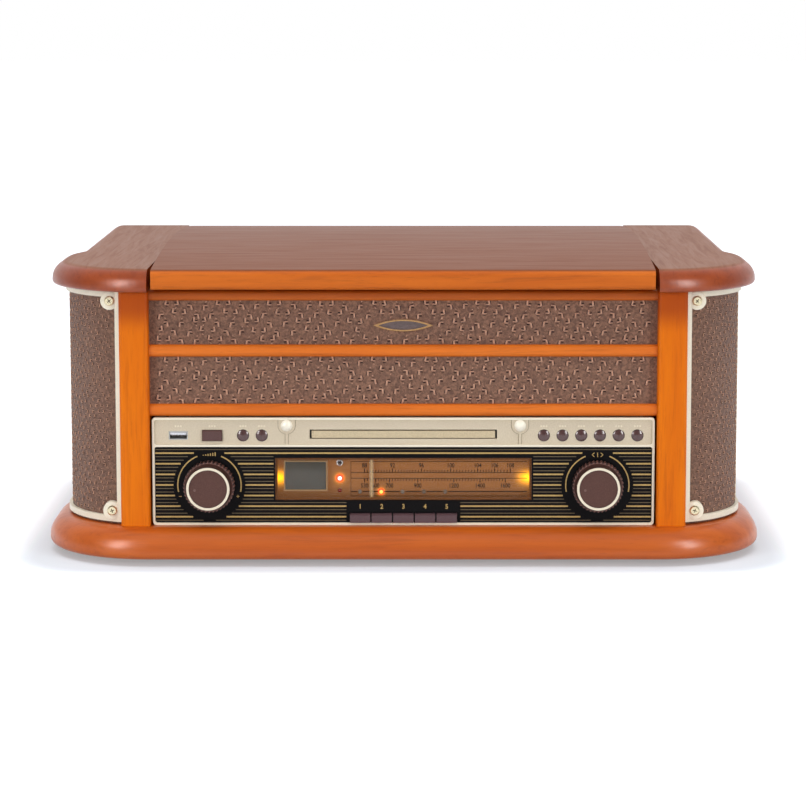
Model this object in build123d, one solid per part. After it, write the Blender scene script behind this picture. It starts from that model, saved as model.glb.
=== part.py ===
from build123d import *
from math import acos, asin, cos, degrees, radians, sin, sqrt
import os

# Retro stereo music centre: wooden cabinet with a lift-up lid over a turntable, curved
# cloth-covered corner speakers, and a radio, disc and cassette section.
# Millimetres. X to the right, Y into the cabinet from the front, Z up.
# The origin lies on the table, under the middle of the base.

# ---- cabinet ----
BASE_DEPTH = 362.0
FOOT_HEIGHT = 5.0
FOOT_RADIUS = 12.0
FOOT_TAPER = 1.5
FOOT_INSET_X = 29.5
FOOT_INSET_Y = 60.0
BASE_THICK = 21.5
BASE_TOP_ROUND = 16.0
BASE_BOTTOM_ROUND = 4.3
TOP_WIDTH = 514.0
BASE_OUTSTAND = 4.0
TOP_OVERHANG = 9.0
SPEAKER_BAY = 75.5
TOP_SETBACK = 3.0
TOP_REAR_SETBACK = 1.0
TOP_THICK = 16.0
TOP_UPPER_ROUND = 12.5
TOP_LOWER_ROUND = 2.5
CABINET_HEIGHT = 170.0
CORNER_ROUND = 79.0
WAIST_STEP = 9.0
WAIST_FROM_FRONT = 112.0
WAIST_LENGTH = 48.0
POST_WIDTH = 21.0
POST_DEPTH = 24.0
POST_SETBACK = 13.0
POST_ROUND = 2.5
SIDE_WALL = 8.0
SIDE_SETBACK = 8.0
BACK_WALL = 9.0
BACK_FACE_SETBACK = 6.0
BATTEN_HEIGHT = 18.5
BATTEN_DEPTH = 11.0
DIVIDER_THICK = 8.0
DIVIDER_GAP = 2.5
FIT = 0.1
SLIDE_GAP = 0.3
SHAFT_GAP = 0.05

# ---- lid ----
LID_INSET = 3.4
LID_SIDE_GAP = 3.0
LID_EDGE_HEIGHT = 14.0
LID_CROWN = 7.9
LID_WALL = 10.0
LID_FRONT_WALL = 18.0
LID_PANEL = 8.0
LID_REST_GAP = 2.0
LID_NOSE_TOP = 4.5
LID_NOSE_BOTTOM = 3.0
HINGE_RADIUS = 2.4
HINGE_PIN_RADIUS = 1.2
HINGE_LEAF = 1.2
HINGE_WIDTH = 44.0
HINGE_X = 105.0
HINGE_LEAF_HEIGHT = 12.0
HINGE_OUTSTAND = 3.0
STAY_FROM_CASE = 5.0
STAY_BAND = 5.0
STAY_THICK = 3.0
STAY_SWEEP = 78.0
STAY_CLEAR = 0.8

# ---- curved corner grilles ----
GRILLE_FROM_FRONT = 85.0
GRILLE_RADIUS = 70.0
GRILLE_SHELL = 2.5
GRILLE_TAIL = 20.0
GRILLE_RETURN = 2.0
GRILLE_TOP_BAND = 5.5
GRILLE_LIFT = 1.8
GRILLE_BOTTOM_BAND = 4.2
GRILLE_FRONT_BAND = 3.5
GRILLE_REAR_BAND = 7.0
CLOTH_SHELL = 1.5
LOBE_RADIUS = 6.5
LOBE_FROM_POST = 7.0
LOBE_FROM_TOP = 7.9
LOBE_FROM_BASE = 10.3
LOBE_SETBACK = 20.6
SCREW_HEAD_RADIUS = 3.5
SCREW_HEAD = 1.5
SCREW_SHANK_RADIUS = 1.5
SCREW_LENGTH = 11.0
CHAMBER_BOARD = 12.0
BAFFLE_THICK = 8.0
BAFFLE_WIDTH = 60.0
BAFFLE_OUT_X = 39.0
BAFFLE_OUT_Y = 16.0
SPEAKER_RADIUS = 27.0
SPEAKER_LAP = 3.0
SPEAKER_FLANGE = 2.0
SPEAKER_DEPTH = 18.0
MAGNET_LENGTH = 8.0
MAGNET_RADIUS = 10.8

# ---- front ----
TOP_RAIL = 7.7
RAIL_HEIGHT = 8.7
CLOTH_LOWER_EXTRA = 2.5
CLOTH_SETBACK = 24.5
CLOTH_BOARD = 8.5
RAIL_PROUD = 4.5
TOP_RAIL_PROUD = 6.5
BADGE_WIDTH = 42.4
BADGE_HEIGHT = 8.4
BADGE_THICK = 1.6
FASCIA_INSET = 1.5
FASCIA_HEIGHT = 78.1
FASCIA_SETBACK = 22.5
FASCIA_THICK = 4.0
FASCIA_CORNER = 2.5
FASCIA_TOP_GAP = 1.0
RIM_WIDTH = 1.6
RIM_PROUD = 1.5
BAND_HEIGHT = 21.2
PANEL_THICK = 2.2
BUTTON_RADIUS = 4.1
BUTTON_GAP = 0.2
BUTTON_RISE = 8.1
BUTTON_PROUD = 1.6
BUTTON_DOME = 1.1
BUTTON_TRAVEL = 1.2
BUTTON_FLANGE = 1.0
LEFT_BUTTONS = 2
LEFT_BUTTON_FROM_POWER = 22.1
RIGHT_BUTTONS = 6
RIGHT_BUTTON_FROM_EDGE = 12.3
BUTTON_PITCH = 13.4
POWER_FROM_EDGE = 43.0
POWER_WIDTH = 14.3
POWER_HEIGHT = 7.8
POWER_PROUD = 2.0
USB_FROM_EDGE = 18.7
USB_WIDTH = 13.4
USB_HEIGHT = 5.9
USB_WALL = 0.5
STUD_FROM_SLOT = 16.4
STUD_FROM_TOP = 5.9
STUD_RADIUS = 4.2
STUD_DOME = 2.2
STUD_RIM = 0.5
SHIELD_WIDTH = 12.0
SHIELD_PROUD = 0.7
STEM_WIDTH = 1.8
DISC_SLOT_HALF = 67.2
DISC_SLOT_RISE = 9.0
DISC_SLOT_HEIGHT = 6.7
DRAWER_GAP = 1.5
TRAY_FLOOR = 1.4
TRAY_LENGTH = 150.0
TRAY_RECESS = 60.5
DRIVE_WALL = 4.0
KNOB_FROM_EDGE = 40.7
KNOB_RISE = 27.1
KNOB_SKIRT_RADIUS = 18.5
KNOB_RING_RADIUS = 15.5
KNOB_CAP_RADIUS = 13.5
KNOB_SKIRT = 8.0
KNOB_LENGTH = 15.0
KNOB_CLEAR = 0.5
KNOB_CAP_SUNK = 0.7
KNOB_TEETH = 40
KNOB_TOOTH = 0.8
KNOB_DISC_RADIUS = 25.5
SHAFT_RADIUS = 3.0
WINDOW_FROM_KNOB = 47.3
WINDOW_RISE = 16.3
WINDOW_HEIGHT = 30.6
WINDOW_LEDGE = 1.5
DISPLAY_INSET = 5.9
DISPLAY_WIDTH = 31.4
DISPLAY_RISE = 5.8
DISPLAY_HEIGHT = 22.3
DISPLAY_DEPTH = 3.4
LIGHT_RADIUS = 1.5
LIGHT_DEPTH = 1.4
STATUS_FROM_DISPLAY = 8.8
SENSOR_RISE = 26.1
SENSOR_RADIUS = 2.4
POWER_LIGHT_RISE = 14.6
STEREO_LIGHT_RISE = 5.7
FIRST_LIGHT_FROM_STATUS = 14.4
BAND_LIGHT_PITCH = 15.4
BAND_LIGHT_RISE = 4.7
BAND_LIGHTS = 5
POINTER_FROM_LIGHT = 8.5
POINTER_WIDTH = 1.5
POINTER_THICK = 1.2
POINTER_GAP = 0.6
POINTER_ARM = 1.5
CARRIAGE_WIDTH = 8.0
CORD_DRUM = 5.0
DRUM_FLANGE = 0.8
GANG_BORE = 8.0
GANG_SIZE = 28.0
GANG_DEPTH = 14.0
VOLUME_CASE = 22.0
CORD_THICK = 0.6
CORD_SPACE = 4.5
DIAL_DEPTH = 4.5
DIAL_THICK = 1.5
DIAL_MARGIN = 3.0
DIAL_PILLAR = 2.8
BOARD_THICK = 1.6
BOARD_MARGIN = 4.0
SWITCH_SIZE = 5.0
CORD_POST_INSET = 32.0
KEYS = 5
KEY_PITCH = 15.55
KEY_WIDTH = 14.6
KEY_HEIGHT = 6.5
KEY_RISE = 0.4
KEY_PROUD = 3.6
KEY_TRAVEL = 3.0
KEY_BEVEL = 1.2
KEY_SHOULDER = 0.7
KEY_SHANK = 8.0
KEY_PANEL_HEIGHT = 8.5
KEY_PANEL_PROUD = 0.4

# ---- turntable ----
DECK_BELOW_TOP = 30.5
DECK_THICK = 3.0
CLEAT_HEIGHT = 10.0
CLEAT_WIDTH = 8.0
PLATTER_X = -22.0
PLATTER_Y = -8.0
PLATTER_RADIUS = 99.0
PLATTER_THICK = 5.5
PLATTER_GAP = 2.5
MAT_RADIUS = 94.0
MAT_THICK = 2.0
SPINDLE_RADIUS = 3.5
SPINDLE_ABOVE_MAT = 11.0
BEARING_RADIUS = 8.0
BEARING_LENGTH = 18.0
BEARING_RISE = 4.0
DRIVE_RING_RADIUS = 75.0
DRIVE_RING_WALL = 3.0
DRIVE_RING_DEPTH = 10.5
WELL_RADIUS = 92.0
WELL_WALL = 2.5
WELL_DEPTH = 13.0
PULLEY_RADIUS = 5.0
PULLEY_REACH = 84.0
PULLEY_BEARING = 135.0
PULLEY_HEIGHT = 7.0
PULLEY_CLEAR = 1.5
BELT_THICK = 0.8
BELT_HEIGHT = 4.0
MOTOR_RADIUS = 16.0
MOTOR_LENGTH = 34.0
MOTOR_SHAFT = 1.0
MOTOR_SHAFT_DEPTH = 12.0
MOTOR_BEVEL = 1.5
ARM_FROM_SIDE = 35.9
ARM_FROM_BACK = 81.0
NEEDLE_FROM_FRONT = 71.0
ARM_TAIL = 31.0
ARM_WEIGHT = 12.0
ARM_RADIUS = 4.0
ARM_ABOVE_DECK = 24.0
ARM_POST_RADIUS = 15.0
ARM_POST_HEIGHT = 9.7
ARM_SHAFT_RADIUS = 4.0
ARM_PIN_RADIUS = 2.0
YOKE_GAP = 3.5
YOKE_EAR = 3.0
HEAD_WIDTH = 15.0
HEAD_LENGTH = 30.0
HEAD_NOSE = 8.0
HEAD_BEVEL = 3.0
CARTRIDGE_WIDTH = 10.0
CARTRIDGE_LENGTH = 16.0
CARTRIDGE_NOSE = 4.0
STYLUS_WIDTH = 1.2
STYLUS_LENGTH = 8.6
STYLUS_DROP = 2.5
STYLUS_ABOVE_MAT = 2.0
WEIGHT_BEVEL = 1.2
GIMBAL_DROP = 3.5
YOKE_WIDTH = 10.0
YOKE_RISE = 5.0
REST_FROM_NEEDLE = 50.0
REST_INSIDE = 5.0
REST_LIP = 2.5
REST_LENGTH = 6.0
SELECTOR_OFFSET = 2.0
SELECTOR_FROM_FRONT = 45.0
SELECTOR_TRAVEL = 8.0
SELECTOR_LENGTH = 10.0
SELECTOR_WIDTH = 7.0
SELECTOR_HEIGHT = 4.5
SELECTOR_BEVEL = 1.0
SELECTOR_STEM = 3.4
SELECTOR_STEM_DROP = 6.0
SELECTOR_SLOT_SPARE = 0.7

# ---- cassette section on the right side ----
CASSETTE_FROM_GRILLE = 64.5
CASSETTE_LENGTH = 103.0
CASSETTE_HEIGHT = 14.0
CASSETTE_BELOW_DECK = 19.0
CASSETTE_DEPTH = 66.0
CASSETTE_CASE_HEIGHT = 42.0
CASSETTE_CASE_GAP = 3.0
CASSETTE_CASE_MARGIN = 10.0
SLOT_CLEAR = 0.5
FLAP_THICK = 1.5
FLAP_PIN = 1.0
EJECT_WIDTH = 16.0
EJECT_HEIGHT = 6.0
EJECT_DROP = 17.0
EJECT_PROUD = 2.0
EJECT_TRAVEL = 4.0
EJECT_BODY = 8.0
EJECT_BEVEL = 0.8

# ---- back ----
VENTS = 9
VENT_PITCH = 12.0
VENT_WIDTH = 3.0
VENT_LENGTH = 44.0
SOCKETS = 2
SOCKET_PITCH = 14.0
SOCKET_RADIUS = 4.2
SOCKET_BORE = 1.6
SOCKET_PLATE_WIDTH = 34.0
SOCKET_PLATE_HEIGHT = 18.0
SOCKET_PLATE = 2.0
SOCKET_RISE = 30.0
GLAND_INSET = 20.0
GLAND_FLANGE_RADIUS = 8.0
GLAND_RADIUS = 5.0
GLAND_BORE = 3.0
TRANSFORMER_WIDTH = 54.0
TRANSFORMER_DEPTH = 44.0
TRANSFORMER_HEIGHT = 46.0
TRANSFORMER_FROM_BACK = 20.0
COIL_INSET = 10.0
COIL_OUTSTAND = 9.0
COIL_RISE = 8.0
COIL_ROUND = 6.0

# ---- levels and planes that follow from the sizes above ----
BASE_WIDTH = TOP_WIDTH + 2 * BASE_OUTSTAND
FRONT = -BASE_DEPTH / 2
BACK = BASE_DEPTH / 2
BASE_TOP = FOOT_HEIGHT + BASE_THICK
CABINET_TOP = BASE_TOP + CABINET_HEIGHT
TOP_FRONT = FRONT + TOP_SETBACK
TOP_BACK = BACK - TOP_REAR_SETBACK
BACK_FACE = BACK - BACK_FACE_SETBACK
BACK_INNER = BACK_FACE - BACK_WALL
FRONT_WIDTH = TOP_WIDTH - 2 * SPEAKER_BAY
POST_FRONT = TOP_FRONT + POST_SETBACK
POST_BACK = POST_FRONT + POST_DEPTH
POST_INNER = FRONT_WIDTH / 2
POST_OUTER = POST_INNER + POST_WIDTH
DIVIDER_INNER = POST_INNER + DIVIDER_GAP
DIVIDER_OUTER = DIVIDER_INNER + DIVIDER_THICK
SIDE_OUTER = TOP_WIDTH / 2 - TOP_OVERHANG - SIDE_SETBACK
SIDE_INNER = SIDE_OUTER - SIDE_WALL

# ---- the lid and its hinge ----
LID_WIDTH = FRONT_WIDTH - 2 * LID_INSET
LID_BOTTOM = CABINET_TOP + LID_REST_GAP
LID_EDGE = LID_BOTTOM + LID_EDGE_HEIGHT
HINGE_Y = BACK_FACE + HINGE_OUTSTAND
HINGE_Z = CABINET_TOP + LID_REST_GAP / 2

# ---- the corner grilles ----
GRILLE_X = TOP_WIDTH / 2 - TOP_OVERHANG - GRILLE_RADIUS
GRILLE_Y = TOP_FRONT + GRILLE_FROM_FRONT
GRILLE_END = GRILLE_Y + GRILLE_TAIL
GRILLE_SIDE = GRILLE_X + GRILLE_RADIUS
CLOTH_RADIUS = GRILLE_RADIUS - GRILLE_SHELL - SLIDE_GAP
CHAMBER_RADIUS = CLOTH_RADIUS - CLOTH_SHELL - SLIDE_GAP
LOBE_X = POST_OUTER + LOBE_FROM_POST
LOBE_FACE = TOP_FRONT + LOBE_SETBACK
LOBE_LEVELS = (BASE_TOP + LOBE_FROM_BASE, CABINET_TOP - LOBE_FROM_TOP)

# ---- the front, from the fascia up ----
CLOTH_FACE = FRONT + CLOTH_SETBACK
FASCIA_WIDTH = FRONT_WIDTH - 2 * FASCIA_INSET
FASCIA_FACE = FRONT + FASCIA_SETBACK
FASCIA_BACK = FASCIA_FACE + FASCIA_THICK
FASCIA_BOTTOM = BASE_TOP + FIT
FASCIA_TOP = FASCIA_BOTTOM + FASCIA_HEIGHT
LOWER_RAIL_BOTTOM = FASCIA_TOP + FASCIA_TOP_GAP
LOWER_CLOTH_BOTTOM = LOWER_RAIL_BOTTOM + RAIL_HEIGHT
UPPER_CLOTH_TOP = CABINET_TOP - TOP_RAIL
CLOTH_LEFT_OVER = UPPER_CLOTH_TOP - RAIL_HEIGHT - LOWER_CLOTH_BOTTOM
UPPER_CLOTH_BOTTOM = UPPER_CLOTH_TOP - (CLOTH_LEFT_OVER - CLOTH_LOWER_EXTRA) / 2
LOWER_CLOTH_TOP = UPPER_CLOTH_BOTTOM - RAIL_HEIGHT

# ---- the panel and the control band ----
PANEL_TOP = FASCIA_TOP - BAND_HEIGHT
PANEL_BOTTOM = FASCIA_BOTTOM + RIM_WIDTH
PANEL_FACE = FASCIA_FACE + FIT
PANEL_BACK = PANEL_FACE + PANEL_THICK
KNOB_X = FASCIA_WIDTH / 2 - KNOB_FROM_EDGE
KNOB_Z = PANEL_BOTTOM + KNOB_RISE
BUTTON_Z = PANEL_TOP + BUTTON_RISE
POWER_X = POWER_FROM_EDGE - FASCIA_WIDTH / 2
USB_X = USB_FROM_EDGE - FASCIA_WIDTH / 2
DISC_SLOT_Z = PANEL_TOP + DISC_SLOT_RISE
DISC_SLOT_BOTTOM = DISC_SLOT_Z - DISC_SLOT_HEIGHT / 2
DISC_SLOT_TOP = DISC_SLOT_Z + DISC_SLOT_HEIGHT / 2
STUD_X = DISC_SLOT_HALF + STUD_FROM_SLOT
STUD_Z = FASCIA_TOP - STUD_FROM_TOP
KEY_BOTTOM = PANEL_BOTTOM + KEY_RISE
KEY_TOP = KEY_BOTTOM + KEY_HEIGHT

# ---- the dial ----
WINDOW_HALF = KNOB_X - WINDOW_FROM_KNOB
WINDOW_BOTTOM = PANEL_BOTTOM + WINDOW_RISE
WINDOW_TOP = WINDOW_BOTTOM + WINDOW_HEIGHT
DIAL_FACE = FASCIA_BACK + DIAL_DEPTH
DIAL_BACK = DIAL_FACE + DIAL_THICK
BOARD_FACE = DIAL_BACK + CORD_SPACE
BOARD_BACK = BOARD_FACE + BOARD_THICK
CORD_Y = (DIAL_BACK + BOARD_FACE) / 2
CORD_POST_X = CORD_POST_INSET - WINDOW_HALF
DISPLAY_LEFT = DISPLAY_INSET - WINDOW_HALF
DISPLAY_RIGHT = DISPLAY_LEFT + DISPLAY_WIDTH
DISPLAY_BOTTOM = WINDOW_BOTTOM + DISPLAY_RISE
DISPLAY_TOP = DISPLAY_BOTTOM + DISPLAY_HEIGHT
STATUS_X = DISPLAY_RIGHT + STATUS_FROM_DISPLAY
FIRST_LIGHT_X = STATUS_X + FIRST_LIGHT_FROM_STATUS
POINTER_X = FIRST_LIGHT_X + POINTER_FROM_LIGHT

# ---- the turntable ----
DECK_HALF = DIVIDER_INNER - FIT
DECK_TOP = CABINET_TOP - DECK_BELOW_TOP
DECK_BOTTOM = DECK_TOP - DECK_THICK
PLATTER_BOTTOM = DECK_TOP + PLATTER_GAP
PLATTER_TOP = PLATTER_BOTTOM + PLATTER_THICK
MAT_TOP = PLATTER_TOP + MAT_THICK
WELL_FLOOR = DECK_TOP - WELL_DEPTH + WELL_WALL
WELL_BOTTOM = DECK_TOP - WELL_DEPTH
PULLEY_X = PLATTER_X + PULLEY_REACH * cos(radians(PULLEY_BEARING))
PULLEY_Y = PLATTER_Y + PULLEY_REACH * sin(radians(PULLEY_BEARING))
ARM_X = DECK_HALF - ARM_FROM_SIDE
ARM_Y = BACK - ARM_FROM_BACK
NEEDLE_Y = FRONT + NEEDLE_FROM_FRONT
ARM_Z = DECK_TOP + ARM_ABOVE_DECK
SELECTOR_X = ARM_X - SELECTOR_OFFSET
SELECTOR_Y = FRONT + SELECTOR_FROM_FRONT

# ---- the cassette section ----
CASSETTE_Y = GRILLE_END + CASSETTE_FROM_GRILLE
CASSETTE_Z = DECK_TOP - CASSETTE_BELOW_DECK
SLOT_BOTTOM = CASSETTE_Z - CASSETTE_HEIGHT / 2
SLOT_TOP = CASSETTE_Z + CASSETTE_HEIGHT / 2
CASE_TOP = DECK_BOTTOM - CASSETTE_CASE_GAP
CASE_BOTTOM = CASE_TOP - CASSETTE_CASE_HEIGHT
CASE_FRONT = CASSETTE_Y - CASSETTE_LENGTH / 2 - CASSETTE_CASE_MARGIN
CASE_BACK = CASSETTE_Y + CASSETTE_LENGTH / 2 + CASSETTE_CASE_MARGIN
STAY_RADIUS = HINGE_Y - CASE_BACK - STAY_FROM_CASE
CASE_INNER = SIDE_INNER - CASSETTE_DEPTH
EJECT_Z = CASSETTE_Z - EJECT_DROP


def block(x0, x1, y0, y1, z0, z1):
    """A box between two corners."""
    middle = Pos((x0 + x1) / 2, (y0 + y1) / 2, (z0 + z1) / 2)
    return middle * Box(x1 - x0, y1 - y0, z1 - z0)


def rod_x(y, z, radius, x0, x1):
    """A round bar along X."""
    return Pos((x0 + x1) / 2, y, z) * Rot(0, 90, 0) * Cylinder(radius, x1 - x0)


def rod_y(x, z, radius, y0, y1):
    """A round bar along Y."""
    return Pos(x, (y0 + y1) / 2, z) * Rot(90, 0, 0) * Cylinder(radius, y1 - y0)


def rod_z(x, y, radius, z0, z1):
    """A round bar along Z."""
    return Pos(x, y, (z0 + z1) / 2) * Cylinder(radius, z1 - z0)


def from_front(shape, y0, y1):
    """A flat shape drawn as seen from the front, made solid between two depths."""
    return extrude(Plane.XZ.offset(-y1) * shape, amount=y1 - y0)


def both_sides(piece):
    """A piece of the right side together with its mirror image on the left."""
    return group([piece, mirror(piece, about=Plane.YZ)])


def group(pieces):
    """Separate solids kept in one file."""
    return Compound(children=list(pieces))


def turned(points):
    """A solid of revolution about Z from the half section that the points draw."""
    return revolve(Plane.XZ * make_face(Polyline(points, close=True)), Axis.Z)


def domed(radius, dome, depth):
    """A round bar along Z with a domed top; its rim lies at zero."""
    sphere = (radius**2 + dome**2) / (2 * dome)
    half_angle = degrees(asin(radius / sphere))
    arc = CenterArc((0, dome - sphere), sphere, 90 - half_angle, half_angle)
    side = Line((radius, -depth), (radius, 0))
    bottom = Line((0, -depth), (radius, -depth))
    axis = Line((0, dome), (0, -depth))
    return revolve(Plane.XZ * make_face([arc, side, bottom, axis]), Axis.Z)


def write(name, piece):
    export_step(piece, os.path.join("parts", name + ".step"))


# ---- cabinet boards ----
def board_plan(half_width, front, back):
    """Right half of a cabinet board: straight front, round corner and an S-curved waist."""
    corner_x = half_width - CORNER_ROUND
    waist_start = front + WAIST_FROM_FRONT
    half_step = WAIST_STEP / 2
    half_length = WAIST_LENGTH / 2
    waist_radius = (half_length**2 + half_step**2) / (2 * half_step)
    turn = degrees(asin(half_length / waist_radius))
    front_edge = Line((0, front), (corner_x, front))
    corner_arc = CenterArc((corner_x, front + CORNER_ROUND), CORNER_ROUND, -90, 90)
    flank = Line(corner_arc @ 1, (half_width, waist_start))
    bend_in = JernArc(flank @ 1, (0, 1), waist_radius, turn)
    bend_out = JernArc(bend_in @ 1, bend_in % 1, waist_radius, -turn)
    rear_flank = Line(bend_out @ 1, (half_width - WAIST_STEP, back))
    back_edge = Line(rear_flank @ 1, (0, back))
    middle = Line(back_edge @ 1, front_edge @ 0)
    return make_face(
        [front_edge, corner_arc, flank, bend_in, bend_out, rear_flank, back_edge, middle]
    )


def moulded(plan, bottom, top, lower_round, upper_round, back):
    """A board with its front and side edges rounded and its back edge square."""
    board = extrude(Pos(0, 0, bottom) * plan, amount=top - bottom)

    def shown(edge):
        return abs(edge.center().Y - back) > 0.5

    upper = board.edges().group_by(Axis.Z)[-1].filter_by(shown)
    board = fillet(upper, upper_round)
    lower = board.edges().group_by(Axis.Z)[0].filter_by(shown)
    return fillet(lower, lower_round)


def whole_plan(width, front, back):
    half = board_plan(width / 2, front, back)
    return half + mirror(half, about=Plane.YZ)


def base_board():
    plan = whole_plan(BASE_WIDTH, FRONT, BACK)
    return moulded(plan, FOOT_HEIGHT, BASE_TOP, BASE_BOTTOM_ROUND, BASE_TOP_ROUND, BACK)


def feet():
    """Four tapering rubber feet."""
    foot = Cone(FOOT_RADIUS - FOOT_TAPER, FOOT_RADIUS, FOOT_HEIGHT)
    front_x = BASE_WIDTH / 2 - FOOT_INSET_X
    rear_x = front_x - WAIST_STEP
    return group(
        Pos(side * x, y, FOOT_HEIGHT / 2) * foot
        for side in (-1, 1)
        for x, y in ((front_x, FRONT + FOOT_INSET_Y), (rear_x, BACK - FOOT_INSET_Y))
    )


def top_wings():
    """The fixed boards on both sides of the lid, cut from one moulded outline."""
    plan = whole_plan(TOP_WIDTH, TOP_FRONT, TOP_BACK)
    top = CABINET_TOP + TOP_THICK
    board = moulded(plan, CABINET_TOP, top, TOP_LOWER_ROUND, TOP_UPPER_ROUND, TOP_BACK)
    inner = LID_WIDTH / 2 + LID_SIDE_GAP
    return board - block(-inner, inner, FRONT, BACK, CABINET_TOP - 1, top + 1)


def posts():
    post = block(POST_INNER, POST_OUTER, POST_FRONT, POST_BACK, BASE_TOP, CABINET_TOP)
    front_edges = post.edges().filter_by(Axis.Z).group_by(Axis.Y)[0]
    return both_sides(fillet(front_edges, POST_ROUND))


def side_opening(width, height, z, x0, x1):
    """A straight way through the right side wall, in line with the cassette."""
    half = width / 2
    rise = height / 2
    return block(x0, x1, CASSETTE_Y - half, CASSETTE_Y + half, z - rise, z + rise)


def side_panels():
    """Side walls; the right one has the cassette slot and the hole of its key."""
    wall = block(SIDE_INNER, SIDE_OUTER, GRILLE_END, BACK_INNER, BASE_TOP, CABINET_TOP)
    through = (SIDE_INNER - 1, SIDE_OUTER + 1)
    gap = 2 * SLIDE_GAP
    slot = side_opening(CASSETTE_LENGTH, CASSETTE_HEIGHT, CASSETTE_Z, *through)
    key_hole = side_opening(EJECT_WIDTH + gap, EJECT_HEIGHT + gap, EJECT_Z, *through)
    return group([mirror(wall, about=Plane.YZ), wall - slot - key_hole])


def back_panel():
    """Rear wall with a stiffening batten along the top and a row of vent slots."""
    half = SIDE_OUTER
    wall = block(-half, half, BACK_INNER, BACK_FACE, BASE_TOP, CABINET_TOP)
    reach = DIVIDER_INNER - FIT
    low = CABINET_TOP - BATTEN_HEIGHT
    batten = block(-reach, reach, BACK_INNER - BATTEN_DEPTH, BACK_INNER, low, CABINET_TOP)
    panel = wall + batten
    for i in range(VENTS):
        x = (i - (VENTS - 1) / 2) * VENT_PITCH - FRONT_WIDTH / 4
        low_z = BASE_TOP + TRANSFORMER_HEIGHT
        vent = block(
            x - VENT_WIDTH / 2,
            x + VENT_WIDTH / 2,
            BACK_INNER - 1,
            BACK_FACE + 1,
            low_z,
            low_z + VENT_LENGTH,
        )
        panel -= vent
    return panel


def front_rails():
    """Three rails between the posts, with half-round noses on the lower two."""
    half = POST_INNER - FIT
    deep = CLOTH_FACE + CLOTH_BOARD

    def rail(bottom, top, proud):
        bar = block(-half, half, CLOTH_FACE - proud, deep, bottom, top)
        nose = bar.edges().filter_by(Axis.X).group_by(Axis.Y)[0]
        return fillet(nose, min(proud, (top - bottom) / 2) * 0.85)

    return group(
        [
            rail(UPPER_CLOTH_TOP, CABINET_TOP, TOP_RAIL_PROUD / 2),
            rail(LOWER_CLOTH_TOP, UPPER_CLOTH_BOTTOM, RAIL_PROUD),
            rail(LOWER_RAIL_BOTTOM, LOWER_CLOTH_BOTTOM, RAIL_PROUD),
        ]
    )


def front_cloth_panels():
    """Two boards wrapped in cloth."""
    half = POST_INNER - FIT
    deep = CLOTH_FACE + CLOTH_BOARD
    return group(
        [
            block(-half, half, CLOTH_FACE, deep, UPPER_CLOTH_BOTTOM, UPPER_CLOTH_TOP),
            block(-half, half, CLOTH_FACE, deep, LOWER_CLOTH_BOTTOM, LOWER_CLOTH_TOP),
        ]
    )


def lens(width, height):
    """The pointed oval of the badge, as seen from the front."""
    half = width / 2
    upper = ThreePointArc((-half, 0), (0, height / 2), (half, 0))
    lower = ThreePointArc((half, 0), (0, -height / 2), (-half, 0))
    return make_face([upper, lower])


def badge():
    """A bare lens-shaped plate with a raised rim."""
    z = (UPPER_CLOTH_TOP + UPPER_CLOTH_BOTTOM) / 2 - 2
    rim = 1.0
    plate = Pos(0, z) * lens(BADGE_WIDTH, BADGE_HEIGHT)
    field = Pos(0, z) * lens(BADGE_WIDTH - 7 * rim, BADGE_HEIGHT - 2 * rim)
    solid = from_front(plate, CLOTH_FACE - BADGE_THICK, CLOTH_FACE)
    return solid - from_front(field, CLOTH_FACE - 2 * BADGE_THICK, CLOTH_FACE - BADGE_THICK / 2)


# ---- curved corner grilles ----
def curved_wall(radius, thick, start_x, end_y):
    """Plan of a wall that curves round the right front corner and ends straight."""
    centre = (GRILLE_X, GRILLE_Y)
    right = GRILLE_X + radius
    outer_angle = degrees(acos((start_x - GRILLE_X) / radius))
    inner_angle = degrees(acos((start_x - GRILLE_X) / (radius - thick)))
    outer = CenterArc(centre, radius, -outer_angle, outer_angle)
    inner = CenterArc(centre, radius - thick, -inner_angle, inner_angle)
    tail = Line(outer @ 1, (right, end_y))
    end = Line(tail @ 1, (right - thick, end_y))
    tail_back = Line(end @ 1, inner @ 1)
    start = Line(inner @ 0, outer @ 0)
    return make_face([outer, tail, end, tail_back, inner, start])


def grille_frame():
    """Moulded frame round the cloth, with a screw lobe in each front corner."""
    plan = curved_wall(GRILLE_RADIUS, GRILLE_SHELL, POST_OUTER + FIT, GRILLE_END)
    bottom = BASE_TOP + GRILLE_LIFT
    wall = extrude(Pos(0, 0, bottom) * plan, amount=CABINET_TOP - bottom)
    window = block(
        POST_OUTER + GRILLE_FRONT_BAND,
        GRILLE_SIDE + 1,
        GRILLE_Y - GRILLE_RADIUS - 1,
        GRILLE_END - GRILLE_REAR_BAND,
        bottom + GRILLE_BOTTOM_BAND,
        CABINET_TOP - GRILLE_TOP_BAND,
    )
    frame = wall - window
    inner_radius = GRILLE_RADIUS - GRILLE_SHELL
    inside = rod_z(GRILLE_X, GRILLE_Y, inner_radius, BASE_TOP - 1, CABINET_TOP + 1)
    post_side = block(0, POST_OUTER + FIT, FRONT, 0, 0, CABINET_TOP)
    for z in LOBE_LEVELS:
        lobe = rod_y(LOBE_X, z, LOBE_RADIUS, LOBE_FACE, GRILLE_Y)
        frame += lobe - inside - post_side
        frame -= rod_y(LOBE_X, z, SCREW_SHANK_RADIUS + SHAFT_GAP, FRONT, GRILLE_Y)
    flange = block(
        SIDE_OUTER + FIT,
        GRILLE_SIDE - GRILLE_SHELL,
        GRILLE_END - GRILLE_RETURN,
        GRILLE_END,
        bottom,
        CABINET_TOP,
    )
    return frame + flange


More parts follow.
